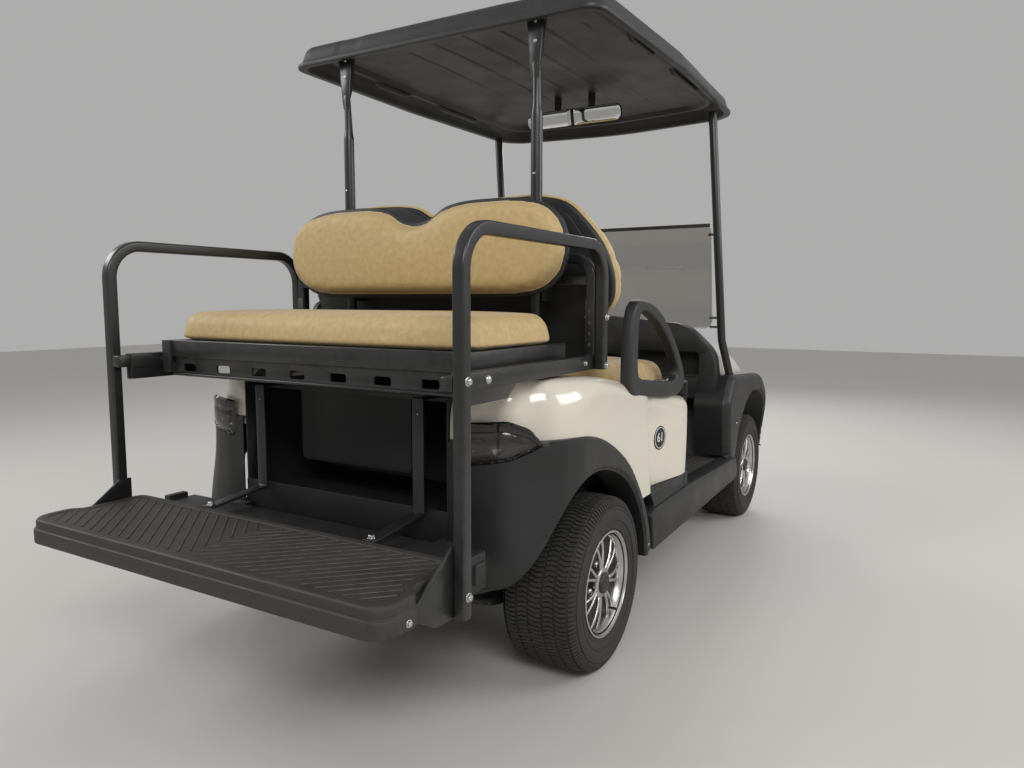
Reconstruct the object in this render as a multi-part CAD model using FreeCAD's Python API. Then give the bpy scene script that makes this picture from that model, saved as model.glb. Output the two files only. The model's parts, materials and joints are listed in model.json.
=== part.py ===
import FreeCAD, Part
import os
from math import radians, sin, tan

# Golf cart with a rear-facing flip seat, standing on its four tyres.
# Millimetres. +Z is up, the nose points to -Y and the rear seat to +Y, +X is the driver's side.
# Heights start at the floor. Lengths along Y start at the rear axle while a piece is built,
# and save() moves each piece so that the whole cart is centred on the origin.

V = FreeCAD.Vector

# Main lengths
wheelbase = 1664.0
deck_reach = 852.0          # rear axle to the footboard's outer edge
nose_reach = 426.0          # front axle to the bumper's face
rear_axle_shift = (wheelbase + nose_reach - deck_reach) / 2
front_axle = -wheelbase

# Wheels
tyre_radius = 229.0
tyre_width = 205.0
bead_radius = 127.0
bead_half = 90.0
flange_radius = 138.0
barrel_wall = 7.0
disc_offset = 66.0          # wheel centre to the spoke disc's inner face
disc_thick = 12.0
hub_radius = 40.0
shaft_radius = 17.5
shaft_play = 0.05
spoke_pairs = 7
axle_tube = 32.0
leaf_thick = 9.0
spring_curve = 930.0
rear_track_half = 485.0
front_track_half = 454.0
motor_y = -195.0
motor_z = 262.0
kingpin_x = 350.0
kingpin_radius = 12.0
steer_arm = 110.0
rack_z = 213.0
rack_radius = 11.0

# Body
side_half = 585.0           # outer face of the white side panel
fender_step = 12.0          # the fender stands out this far from the panel
shell = 5.0
rear_face = 372.0           # rear face of the body
corner_round = 130.0
front_arch = 345.0
well_half = side_half - 247 # half width of the bag well's mouth
body_bottom = 402.0
body_top = 779.0
seat_well_half = side_half - 44 # the panels leave this half width free for the front seat
seat_front = -640.0
floor_top = 330.0
floor_thick = 12.0
toe_board = front_axle + 360
fender_inner = side_half - 155
fender_outer = side_half - 10
rocker_half = side_half + 5
rocker_inner = rocker_half - 60

# Frame tubes
rail_x = 345.0
rail_nose_x = 175.0
rail_wide = 50.0
rail_high = 70.0
member_half = 25.0          # half height of a cross member
nose_end = front_axle - 390
rail_z = 283.0
rail_rear_z = 375.0
rail_end = 440.0
bumper_end = 525.0

# Rear seat kit
tube = 27.0
post_x = side_half - 45.5
post_y = 612.5
post_foot = 356.0
bar_top_z = 1100.0
bar_front_y = -26.0
bar_bend = 85.0
hoop_top = 1072.0
arm_x = post_x - tube
arm_low = 787.0
arm_high = 823.0
pivot_y = 500.0
pivot_z = 805.0
pivot_radius = 8.0
tray_half = arm_x - 62.5
tray_top = 856.0
tray_low = 765.0
rail_deep = 37.0
tray_front = 62.0
tray_rear = 503.0
seat_gap = 0.4

# Cushions
rear_cushion_half = tray_half + 30
rear_cushion_high = 80.0
front_cushion_half = side_half - 50
front_seat_top = 705.0
front_cushion_high = 98.0
back_y = -122.0             # rear face of the front backrest at its foot
back_lean = 4.0

# Footboard
deck_top = 451.0
deck_low = 395.0
deck_back = 566.0
deck_inner_half = post_x - 23.5
deck_outer_half = post_x + 1.5
deck_skin = 6.0
deck_bolt_x = 64.0
deck_bolt_z = 419.0
strap_x = 262.0
strap_y = 384.0

# Roof and glass
roof_crown = 1760.0
roof_rim = roof_crown - 75
roof_rear = -12.0
roof_front = -1420.0
roof_half = side_half - 37
roof_skin = 5.0
rear_strut_x = 331.0
strut_radius = 16.0
rear_strut_y = bar_front_y - tube / 2 - strut_radius
front_strut_x = side_half - 40
front_strut_top = roof_crown - 77
glass_half = front_strut_x - 83
glass_thick = 5.0
glass_low = 852.0
glass_high = 1257.0


def box(x0, x1, y0, y1, z0, z1):
    return Part.makeBox(x1 - x0, y1 - y0, z1 - z0, V(x0, y0, z0))


def rod(start, end, radius):
    first = V(*start)
    along = V(*end) - first
    return Part.makeCylinder(radius, along.Length, first, along)


def on_plane(plane, a, b, c):
    return {"yz": V(c, a, b), "xz": V(a, c, b), "xy": V(a, b, c)}[plane]


def corners(points):
    # Each point is (a, b) or (a, b, radius); a radius turns the corner into an arc.
    table = []
    count = len(points)
    for index, point in enumerate(points):
        here = V(point[0], point[1], 0)
        radius = point[2] if len(point) > 2 else 0
        if radius == 0:
            table.append((here, None, here))
            continue
        last = points[index - 1]
        following = points[(index + 1) % count]
        back = V(last[0], last[1], 0) - here
        ahead = V(following[0], following[1], 0) - here
        half = back.getAngle(ahead) / 2
        room = 0.48 * min(back.Length, ahead.Length)
        reach = min(radius / tan(half), room)
        radius = reach * tan(half)
        back.normalize()
        ahead.normalize()
        middle = here + (back + ahead).normalize() * (radius / sin(half) - radius)
        table.append((here + back * reach, middle, here + ahead * reach))
    return table


def loop(points, plane, at=0.0):
    table = corners(points)
    edges = []
    for index, (enter, middle, leave) in enumerate(table):
        spots = [on_plane(plane, p.x, p.y, at) for p in (enter, leave)]
        if middle is not None:
            top = on_plane(plane, middle.x, middle.y, at)
            edges.append(Part.Arc(spots[0], top, spots[1]).toShape())
        after = table[(index + 1) % len(table)][0]
        target = on_plane(plane, after.x, after.y, at)
        if (target - spots[1]).Length > 1e-6:
            edges.append(Part.makeLine(spots[1], target))
    return Part.Wire(edges)


def upright(solid):
    # A face drawn the other way round gives a solid that is inside out
    return solid if solid.Volume > 0 else solid.reversed()


def slab(points, plane, start, end):
    return prism(loop(points, plane, start), on_plane(plane, 0, 0, end - start))


def prism(wire, along):
    return upright(Part.Face(wire).extrude(along))


def shrunk(wire, inset):
    # The same outline, drawn in by an even margin
    return Part.Face(wire).makeOffset2D(-inset).OuterWire


def turned(outline):
    # A ring around X from an outline in the XZ plane
    return upright(Part.Face(loop(outline, "xz")).revolve(V(0, 0, 0), V(1, 0, 0), 360))


def loft(wires, ruled=True):
    return upright(Part.makeLoft(wires, True, ruled))


def bar(points, plane, at, bend, wide, high=None):
    # A bent square tube in one plane, or a round one when high is None.
    marked = []
    last = len(points) - 1
    for index, point in enumerate(points):
        marked.append((point[0], point[1], bend if 0 < index < last else 0))
    table = corners(marked)
    edges = []
    for index, (enter, middle, leave) in enumerate(table):
        spots = [on_plane(plane, p.x, p.y, at) for p in (enter, leave)]
        if middle is not None:
            top = on_plane(plane, middle.x, middle.y, at)
            edges.append(Part.Arc(spots[0], top, spots[1]).toShape())
        if index < last:
            after = table[index + 1][0]
            edges.append(Part.makeLine(spots[1], on_plane(plane, after.x, after.y, at)))
    first = on_plane(plane, points[0][0], points[0][1], at)
    along = (on_plane(plane, points[1][0], points[1][1], at) - first).normalize()
    side = on_plane(plane, 0, 0, 1)
    if high is None:
        ring = Part.Wire(Part.makeCircle(wide / 2, first, along))
    else:
        across = side.cross(along)
        spots = []
        for s, t in ((-1, -1), (1, -1), (1, 1), (-1, 1)):
            spots.append(first + side * (s * wide / 2) + across * (t * high / 2))
        ring = Part.makePolygon(spots + spots[:1])
    return upright(Part.Wire(edges).makePipeShell([ring], True, False))


def fuse(shapes):
    return shapes[0].multiFuse(shapes[1:]).removeSplitter()


def flip(shape):
    return shape.mirror(V(0, 0, 0), V(1, 0, 0))


def pair(shape):
    return Part.makeCompound([shape, flip(shape)])


def both(shape):
    return [shape, flip(shape)]


def save(name, shape):
    moved = shape.copy()
    moved.translate(V(0, rear_axle_shift, 0))
    moved.exportStep("parts/" + name + ".step")


# Wheels: a tyre and a spoked rim, built around X with the outer side at +X
def make_tyre():
    crown = tyre_width / 2 - 14
    bulge = tyre_width / 2
    lip = flange_radius + 1.0
    outline = [(-bead_half, bead_radius), (-bead_half, lip), (-bulge, 182, 24),
               (-crown, tyre_radius, 22), (crown, tyre_radius, 22), (bulge, 182, 24),
               (bead_half, lip), (bead_half, bead_radius)]
    return turned(outline)


def make_rim():
    inner = bead_radius - barrel_wall
    lip = bead_half + 6
    barrel = [(-lip, inner), (-lip, flange_radius, 3), (-bead_half, flange_radius, 2),
              (-bead_half, bead_radius), (bead_half, bead_radius),
              (bead_half, flange_radius, 2), (lip, flange_radius, 3), (lip, inner)]
    ring = turned(barrel)
    disc = rod((disc_offset, 0, 0), (disc_offset + disc_thick, 0, 0), inner + 2)
    windows = []
    for turn in range(spoke_pairs):
        for wide, offset in ((15.0, 0.0), (6.0, 0.5)):
            low = [(-wide * 0.45, 50, 2), (wide * 0.45, 50, 2), (wide * 1.25, 108, 4),
                   (-wide * 1.25, 108, 4)]
            window = slab(low, "yz", disc_offset - 1, disc_offset + disc_thick + 1)
            window.rotate(V(0, 0, 0), V(1, 0, 0), 360.0 * (turn + offset) / spoke_pairs)
            windows.append(window)
    disc = disc.cut(Part.makeCompound(windows))
    hub = rod((18, 0, 0), (disc_offset + disc_thick + 4, 0, 0), hub_radius)
    cap = rod((disc_offset, 0, 0), (disc_offset + disc_thick + 14, 0, 0), hub_radius - 8)
    bore = rod((17, 0, 0), (disc_offset + 2, 0, 0), shaft_radius + shaft_play)
    return fuse([ring, disc, hub, cap]).cut(bore)


def wheels():
    tyre = make_tyre()
    rim = make_rim()
    corners_of_cart = (("rear", rear_track_half, 0.0), ("front", front_track_half, front_axle))
    for end, track, along in corners_of_cart:
        for side, sign in (("left", 1), ("right", -1)):
            for kind, shape in (("tyre", tyre), ("rim", rim)):
                piece = shape.copy() if sign > 0 else flip(shape)
                piece.translate(V(sign * track, along, tyre_radius))
                save(kind + "_" + end + "_" + side, piece)


# Chassis
def frame_rails():
    nose = [(rail_nose_x, nose_end), (rail_nose_x, front_axle + 234),
            (rail_x, front_axle + 374), (rail_x, -420)]
    front = bar(nose, "xy", rail_z, 60, rail_high, rail_wide)
    kick = [(-440, rail_z), (-400, rail_z), (-270, rail_rear_z), (rail_end, rail_rear_z)]
    rear = bar(kick, "yz", rail_x, 40, rail_wide, rail_high)
    members = []
    for y, half, z in ((nose_end + 25, rail_nose_x, rail_z), (front_axle + 420, rail_x, rail_z),
                       (-660, rail_x, rail_z), (-470, rail_x, rail_z),
                       (-230, rail_x, rail_rear_z), (400, rail_x, rail_rear_z)):
        members.append(box(-half, half, y - 20, y + 20, z - member_half, z + member_half))
    outriggers = []
    for y in (front_axle + 420, -660):
        outriggers += both(box(rail_x, rocker_inner, y - 20, y + 20, rail_z - 20, rail_z + 20))
    return fuse(both(front) + both(rear) + members + outriggers)


def floor_pan():
    low = floor_top - floor_thick
    toe = toe_board
    outline = [(seat_front + 20, low), (seat_front + 20, floor_top), (toe + 30, floor_top, 30),
               (toe - 60, 560), (toe - 72, 556), (toe + 24, low, 42)]
    return slab(outline, "yz", -rocker_inner, rocker_inner)


def rockers():
    front = front_axle + 330
    outline = [(-318, 229, 12), (-300, 345, 20), (-340, 352), (seat_front - 30, 356),
               (front + 60, 338, 20), (front + 10, 262, 30), (front + 80, 250, 20)]
    main = slab(outline, "yz", rocker_inner, rocker_half)
    strip = slab([(-352, 352), (-318, body_bottom - 2), (seat_front - 34, body_bottom - 2),
                  (seat_front - 34, 352)], "yz", rocker_half - 45, rocker_half - 12)
    return pair(fuse([main, strip]))


def rear_axle():
    drum = rear_track_half - 75
    pieces = [rod((-drum, 0, tyre_radius), (drum, 0, tyre_radius), axle_tube),
              rod((-75, 0, tyre_radius), (55, 0, tyre_radius), 96),
              rod((-75, motor_y, motor_z), (-5, motor_y, motor_z), 78),
              box(-75, -5, motor_y, 0, tyre_radius - 60, tyre_radius + 80)]
    for sign in (1, -1):
        ends = ((drum, drum + 60, 88), (drum + 50, rear_track_half + 62, shaft_radius))
        for inner, outer, radius in ends:
            pieces.append(rod((sign * inner, 0, tyre_radius), (sign * outer, 0, tyre_radius), radius))
    return fuse(pieces)


def drive_motor():
    motor = rod((-5, motor_y, motor_z), (250, motor_y, motor_z), 88)
    cap = rod((250, motor_y, motor_z), (275, motor_y, motor_z), 60)
    return fuse([motor, cap])


def rear_springs():
    # Three leaves of one stack are rings about a common centre, cut to their lengths
    low = tyre_radius - axle_tube
    centre = low + spring_curve
    inner = rail_x - rail_wide / 2
    outer = rail_x + rail_wide / 2
    pieces = []
    for place, reach in enumerate((330, 240, 150)):
        near = spring_curve + place * leaf_thick
        ring = rod((inner, 0, centre), (outer, 0, centre), near + leaf_thick)
        ring = ring.cut(rod((inner - 1, 0, centre), (outer + 1, 0, centre), near))
        pieces.append(ring.common(box(inner, outer, -reach, reach, 0, centre - 300)))
    pieces.append(box(inner, outer, -45, 45, low - 44, low - 20))
    eye = centre - (spring_curve ** 2 - 330 ** 2) ** 0.5
    for y in (-330, 330):
        pieces.append(rod((inner, y, eye), (outer, y, eye), 16))
    hanger = box(inner, outer, -342, -318, eye, rail_rear_z - 30)
    shackle = box(inner, outer, 320, 340, eye, rail_rear_z - rail_high / 2)
    return pair(fuse(pieces + [hanger, shackle]))


def front_axle_beam():
    y = front_axle
    low = tyre_radius - 62
    high = tyre_radius + 62
    rail_low = rail_z - rail_high / 2
    rack_y = y + steer_arm
    housing = box(-rail_nose_x - 15, rail_nose_x + 15, rack_y - 20, rack_y + 20, rack_z - 20, rail_low)
    housing = housing.cut(rod((-300, rack_y, rack_z), (300, rack_y, rack_z), rack_radius + shaft_play))
    cradle = box(-rail_nose_x - 25, rail_nose_x + 25, y - 45, y + 45, low - 14, rail_low)
    tie = box(-60, 60, y + 40, rack_y - 15, rail_low - 12, rail_low)
    pieces = [cradle, housing, tie]
    for sign in (1, -1):
        eyes = []
        for z in (low, high):
            eyes.append(rod((sign * kingpin_x, y, z - 9), (sign * kingpin_x, y, z + 9), 22))
            root = rail_nose_x + rail_wide / 2 if z == high else 150
            tip = slab([(root, y - 40), (kingpin_x, y - 22), (kingpin_x, y + 22), (root, y + 40)],
                       "xy", z - 9, z + 9)
            eyes.append(tip if sign > 0 else flip(tip))
        pieces += eyes
        web = box(sign * 225 - 8, sign * 225 + 8, y - 30, y + 30, low, high)
        pieces.append(web)
        bore = rod((sign * kingpin_x, y, low - 20), (sign * kingpin_x, y, high + 20),
                   kingpin_radius + shaft_play)
        pieces = [piece.cut(bore) for piece in pieces]
    return fuse(pieces)


def front_springs():
    y = front_axle
    low = tyre_radius + 71
    coil = rod((262, y, low), (262, y, 490), 27)
    tower = slab([(rail_nose_x + 25, rail_z + 30), (rail_nose_x + 25, 505), (300, 505), (300, 490),
                  (232, 490), (205, 470), (205, rail_z + 30)], "xz", y - 26, y + 26)
    cap = box(rail_nose_x - 25, rail_nose_x + 32, y - 26, y + 26, rail_z + rail_high / 2, 505)
    return pair(fuse([coil, tower, cap]))


def knuckle():
    y = front_axle
    pin_high = tyre_radius + 71
    pin_low = tyre_radius - 71
    pin = rod((kingpin_x, y, pin_low), (kingpin_x, y, pin_high), kingpin_radius)
    block = rod((kingpin_x, y, tyre_radius - 45), (kingpin_x, y, tyre_radius + 45), 24)
    spindle = rod((kingpin_x, y, tyre_radius), (front_track_half + 62, y, tyre_radius), shaft_radius)
    plate = rod((kingpin_x + 26, y, tyre_radius), (kingpin_x + 60, y, tyre_radius), 80)
    arm = slab([(kingpin_x - 12, y, 0), (kingpin_x - 38, y + steer_arm, 0),
                (kingpin_x - 12, y + steer_arm + 12, 8), (kingpin_x + 14, y, 0)],
               "xy", tyre_radius - 40, tyre_radius - 26)
    return fuse([pin, block, spindle, plate, arm])


def steering_rack():
    y = front_axle + steer_arm
    z = rack_z
    pieces = [rod((-150, y, z), (150, y, z), rack_radius)]
    for sign in (1, -1):
        end = sign * (kingpin_x - 32)
        pieces.append(rod((sign * 150, y, z), (end, y, z), 8))
        pieces.append(rod((end, y, z - 9), (end, y, z + 9), 13))
    return fuse(pieces)


# Body panels
def rear_opening(grow, inner, outer):
    # Wheel opening of the rear fender, longer behind the wheel than in front of it
    outline = [(-243 - grow, 150), (-243 - grow, 300, 90), (-148 - 0.8 * grow, 452 + 0.5 * grow, 150),
               (30, 549 + grow, 160), (190, 549 + grow, 150),
               (300 + 0.7 * grow, 480 + 0.7 * grow, 100), (392 + grow, 285), (392 + grow, 150)]
    return slab(outline, "yz", inner, outer)


def side_plan(inset):
    # Plan of one rear quarter: straight side, round rear corner, rear face to the bag well
    outer = side_half - inset
    rear = rear_face - inset
    return [(well_half + inset, rear), (outer, rear, corner_round), (outer, seat_front + inset),
            (well_half + inset, seat_front + inset)]


def side_profile(inset):
    # Side view of the white panel with its falling top line
    top = inset
    return [(rear_face + 20, body_bottom), (rear_face + 20, body_top - top), (200, body_top - top, 200),
            (-184, 735 - top, 60), (-250, 712 - top, 40), (seat_front, 660 - top, 14),
            (seat_front, body_bottom, 14)]


def flare_profile(grow=0.0):
    # Side view of the black rear fender before the wheel opening is cut
    return [(rear_face + 40, 308), (rear_face + 40, 645 + grow), (130, 642 + grow, 120),
            (25, 614 + grow, 120), (-100 - grow, 540 + grow, 130), (-190 - grow, 445, 120),
            (-268 - grow, 345, 60), (-300 - grow, 229), (-230, 229), (0, 300), (230, 308)]


def quarter_solid(inset):
    plan = slab(side_plan(inset), "xy", 200, 900)
    profile = slab(side_profile(inset), "yz", 0, side_half + 10)
    return plan.common(profile)


def wheel_hole(radius, along, inner, outer):
    return rod((inner, along, tyre_radius), (outer, along, tyre_radius), radius)


def lamp_region():
    # The corner lamp: tall at its inner end and drawn out to a point round the corner
    return slab([(321, 643), (343, 622, 10), (367, 598, 10), (rear_face + 60, 588),
                 (rear_face + 60, 698), (366, 696, 14)], "yz", well_half + 30, side_half + 60)


def body_panel():
    solid = quarter_solid(0)
    hollow = quarter_solid(shell)
    inward = box(well_half - 1, well_half + shell + 1, seat_front - 1, rear_face - shell, 300, 900)
    seat_well = box(0, seat_well_half, seat_front - 10, -66, 300, 900)
    panel = solid.cut(hollow).cut(slab(side_plan(shell), "xy", 300, 480))
    panel = panel.cut(slab(flare_profile(), "yz", 0, side_half + 20))
    panel = panel.cut(rear_opening(14, 200, side_half + 20))
    panel = panel.cut(inward).cut(seat_well).cut(lamp_region())
    return max(panel.Solids, key=lambda solid: solid.Volume)


def fender():
    plan = [(well_half + 2, rear_face + 6), (side_half + fender_step, rear_face + 6, corner_round),
            (side_half + fender_step, -330), (well_half + 2, -330)]
    skin = fender_step + shell
    inner = [(well_half - 10, rear_face + 6 - skin),
             (side_half + fender_step - skin, rear_face + 6 - skin, corner_round - skin),
             (side_half + fender_step - skin, -340), (well_half - 10, -340)]
    band = slab(plan, "xy", 200, 660).cut(slab(inner, "xy", 190, 670))
    band = band.common(slab(flare_profile(-1.0), "yz", 0, side_half + 30))
    lip = rear_opening(12, 470, side_half + 4)
    band = fuse([band, lip.common(slab(flare_profile(-8.0), "yz", 0, side_half + 30))])
    band = band.cut(rear_opening(0, 200, side_half + 40)).cut(lamp_region())
    return max(band.Solids, key=lambda solid: solid.Volume)


def taillight():
    plan = side_plan(-4.0)
    inner = side_plan(14.0)
    band = slab(plan, "xy", 560, 720).cut(slab(side_plan(10.0), "xy", 550, 730))
    lens = band.common(slab([(326, 643), (346, 625, 8), (368, 601, 8), (rear_face + 40, 591),
                             (rear_face + 40, 695), (365, 693, 12)], "yz",
                            well_half + 33, side_half + 30))
    flange = slab(side_plan(shell), "xy", 550, 730).cut(slab(inner, "xy", 540, 740))
    flange = flange.common(slab([(328, 650), (rear_face + 40, 650), (rear_face + 40, 705),
                                 (360, 702, 12)], "yz", well_half + 25, side_half + 30))
    return fuse([max(lens.Solids, key=lambda solid: solid.Volume),
                 max(flange.Solids, key=lambda solid: solid.Volume)])


def bag_well():
    wall = 4.0
    top = 742.0
    front = 60.0
    floor = 450.0
    outer = box(-well_half + 1, well_half - 1, front, rear_face, floor, top)
    inner = box(-well_half + 1 + wall, well_half - 1 - wall, front + wall, rear_face + 10,
                floor + wall, top + 10)
    tub = outer.cut(inner)
    sill = box(-well_half - 1, well_half + 1, rear_face - 8, rear_face, 372, floor + 24)
    rail = box(-well_half + 1, well_half - 1, 300, 318, 722, top)
    panel = slab([(-185, 535, 14), (185, 535, 14), (185, 724), (-185, 724)], "xz", 304, 312)
    return fuse([tub, sill, rail, panel])


def seat_base():
    wall = 6.0
    top = front_seat_top - seat_gap
    half = side_half - shell - 1
    front = box(-half, half, seat_front, seat_front + wall, floor_top, top)
    cover = box(-half, half, seat_front, -150, top - wall, top)
    rear_half = rocker_inner - 30
    rear_cover = box(-rear_half, rear_half, -150, 60, top - wall, top)
    rear = box(-rear_half, rear_half, 60 - wall, 60, 500, top)
    return fuse([front, cover, rear_cover, rear])


def battery_pack():
    half = rail_x - rail_wide / 2 - 12
    return box(-half, half, seat_front + 50, motor_y - 84, rail_z + member_half, 610)


# Nose
# Sections from the dash forward: (y, half width, bottom, top, shoulder radius)
cowl_half = side_half - 81
cowl_sections = ((-1308, cowl_half, 560, 842, 190), (-1560, cowl_half - 4, 520, 800, 190),
                 (-1860, cowl_half - 34, 480, 705, 150), (-2046, cowl_half - 114, 440, 590, 90))
lamp_outline = [(252, 520, 10), (430, 545, 20), (420, 610, 24), (262, 566, 12)]


def tombstone(y, half, low, high, radius):
    return loop([(-half, low), (-half, high, radius), (half, high, radius), (half, low)], "xz", y)


def front_cowl():
    # A hollow hood, open below, at the dash and over the wheels
    outer = loft([tombstone(*row) for row in cowl_sections])
    inner = []
    last = len(cowl_sections) - 1
    for index, (y, half, low, high, radius) in enumerate(cowl_sections):
        along = y + (1 if index == 0 else 0) + (shell if index == last else 0)
        inner.append(tombstone(along, half - shell, low - 40, high - shell, radius - shell))
    cowl = outer.cut(loft(inner))
    for side in both(wheel_hole(front_arch + 40, front_axle, 250, 700)):
        cowl = cowl.cut(side)
    lamps = loop(lamp_outline, "xz", -2100)
    for side in both(prism(lamps, V(0, 200, 0))):
        cowl = cowl.cut(side)
    return cowl


def headlights():
    lens = prism(shrunk(loop(lamp_outline, "xz", -2100), 0.5), V(0, 200, 0))
    body = loft([tombstone(*row) for row in cowl_sections[2:]])
    deep = body.copy()
    deep.translate(V(0, 26, 0))
    return pair(lens.common(body).cut(deep))


def front_fender():
    # Black lower side: door post, wheel arch and the shelf over the tyre
    back = front_axle + front_arch + 60
    outline = [(back + 20, 345, 14), (back + 50, 560, 60), (back - 30, 668, 40),
               (front_axle - 120, 640, 160), (front_axle - 330, 480, 90), (front_axle - 385, 300),
               (front_axle - 330, 262), (back - 60, 262)]
    opening = wheel_hole(front_arch, front_axle, 300, 700)
    outer = slab(outline, "yz", fender_inner, fender_outer).cut(opening)
    wire = shrunk(loop(outline, "yz", fender_inner - 5), shell)
    inner = prism(wire, V(fender_outer - fender_inner + 5 - shell, 0, 0))
    inner = inner.cut(wheel_hole(front_arch + shell, front_axle, 300, 700))
    return outer.cut(inner)


def front_bumper():
    nose = front_axle - nose_reach
    flank = front_axle - tyre_radius - 48
    outline = [(-486, flank, 8), (-400, nose, 140), (400, nose, 140), (486, flank, 8),
               (472, flank, 4), (392, nose + 14, 126), (-392, nose + 14, 126), (-472, flank, 4)]
    wall = slab(outline, "xy", 268, 452)
    shelf = slab([(-390, nose + 12), (390, nose + 12), (390, nose_end), (-390, nose_end)],
                 "xy", 296, 306)
    return fuse([wall, shelf])


def dash_panel():
    front = cowl_sections[0][0]
    rear = -1236.0
    half = cowl_half + 1
    dome = [(-half, 570), (-half - 7, 640, 60), (9 - half, 760, 120), (125 - half, 870, 160),
            (0, 905, 900), (half - 125, 870, 160), (half - 9, 760, 120), (half + 7, 640, 60),
            (half, 570)]
    solid = slab(dome, "xz", front, rear)
    holes = []
    for x0, x1, z0, z1 in ((65 - half, -180, 655, 760), (-130, 110, 640, 740),
                           (half - 175, half - 50, 650, 750)):
        holes.append(slab([(x0, z0, 18), (x1, z0, 18), (x1, z1, 18), (x0, z1, 18)], "xz",
                          rear - 58, rear + 5))
    return solid.cut(Part.makeCompound(holes))


# Seats
def front_seat_cushion():
    low = front_seat_top
    high = low + front_cushion_high
    half = front_cushion_half
    side = [(-606, low, 18), (-612, high - 40, 40), (-480, high - 16, 160), (-300, high, 200),
            (-118, high - 4, 30), (-112, low, 16)]
    cushion = slab(side, "yz", -half, half)
    plan = slab([(-half, -620, 60), (half, -620, 60), (half, -105, 60), (-half, -105, 60)],
                "xy", low - 5, high + 5)
    return cushion.common(plan)


rear_shoulder = ((8, -100, 60), (62, -14, 80))
front_shoulder = ((34, -150, 150), (118, -32, 110), (225, 0, 120))


def backrest_outline(half, low, high, notch, shoulder):
    # Right half from the foot to the notch, then the same for the left
    side = [(half - 58, low, 45), (half, low + 80, 80)]
    side += [(half - inset, high + drop, radius) for inset, drop, radius in shoulder]
    side += [(130, high, 60), (40, high - notch, 70)]
    return side + [(-p[0],) + p[1:] for p in reversed(side)]


def rear_seat_back():
    half = rear_cushion_half - 8
    return slab(backrest_outline(half, 974, 1226, 48, rear_shoulder), "xz", 26, 88)


def rear_seat_shell():
    half = rear_cushion_half - 24
    start = bar_front_y + tube / 2 + 0.3
    outline = backrest_outline(half, 984, 1212, 44, rear_shoulder)
    return slab(outline, "xz", start, 26 - seat_gap)


def front_seat_back():
    outline = backrest_outline(front_cushion_half + 15, 918, 1262, 46, front_shoulder)
    back = slab(outline, "xz", back_y - 76, back_y)
    back.rotate(V(0, back_y, 900), V(1, 0, 0), -back_lean)
    return back


def front_seat_shell():
    outline = backrest_outline(front_cushion_half - 15, 800, 1240, 44, front_shoulder)
    back = slab(outline, "xz", back_y + seat_gap, back_y + 16)
    back.rotate(V(0, back_y, 900), V(1, 0, 0), -back_lean)
    brackets = []
    for z in (960, 1150):
        near = back_y + 8 + (z + 20 - 900) * tan(radians(back_lean))
        brackets += both(box(rear_strut_x - 22, rear_strut_x + 22, near, rear_strut_y, z, z + 40))
    return fuse([back] + brackets)


def rear_seat_cushion():
    low = tray_top + seat_gap
    high = low + rear_cushion_high
    half = rear_cushion_half
    side = [(92, low, 16), (100, high - 10, 32), (290, high, 200), (478, high - 8, 34),
            (486, low, 18)]
    cushion = slab(side, "yz", -half, half)
    plan = slab([(-half, 80, 60), (half, 80, 60), (half, 492, 60), (-half, 492, 60)],
                "xy", low - 5, high + 5)
    return cushion.common(plan)


def seat_back_frame():
    # Two legs from the side arms bend inwards to a cross bar between the backrests
    hoop = [(-arm_x, arm_high), (-arm_x, hoop_top), (arm_x, hoop_top), (arm_x, arm_high)]
    frame = bar(hoop, "xz", bar_front_y, 55, tube, tube)
    half = tube / 2
    cross = box(-arm_x, arm_x, bar_front_y - half, bar_front_y + half, 1000, 1000 + tube)
    return fuse([frame, cross])


def hip_restraint():
    outer = [(-106, 745, 40), (-120, 890, 70), (-172, 970, 44), (-300, 958, 150), (-420, 900, 150),
             (-545, 790, 120), (-596, 700, 50), (-520, 660, 60), (-160, 708, 50)]
    inner = [(-176, 765, 22), (-170, 900, 30), (-203, 938, 26), (-325, 912, 110), (-450, 842, 120),
             (-524, 748, 22), (-488, 718, 24), (-226, 746, 30)]
    ring = slab(outer, "yz", side_half - 24, side_half + 2)
    hole = slab(inner, "yz", side_half - 50, side_half + 10)
    return ring.cut(hole)


# Rear seat kit
def grab_bar():
    path = [(post_y, post_foot), (post_y, bar_top_z), (bar_front_y, bar_top_z),
            (bar_front_y, arm_low)]
    return bar(path, "yz", post_x, bar_bend, tube, tube)


def rear_seat_frame():
    arm = box(arm_x - tube / 2, arm_x + tube / 2, bar_front_y - 20, 590, arm_low, arm_high)
    bracket = slab([(377, arm_low), (590, arm_low), (590, 758), (417, 758)], "yz",
                   arm_x - 10, arm_x + 10)
    pieces = both(arm) + both(bracket)
    inner = arm_x - tube / 2
    seat_rest = tray_top - rail_deep - seat_gap
    pieces.append(box(-inner, inner, tray_front - 20, tray_front + 18, arm_low - 4, seat_rest))
    for sign in (1, -1):
        pieces.append(rod((sign * (tray_half + 2), pivot_y, pivot_z), (sign * inner, pivot_y, pivot_z),
                          pivot_radius))
    return fuse(pieces)


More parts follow.
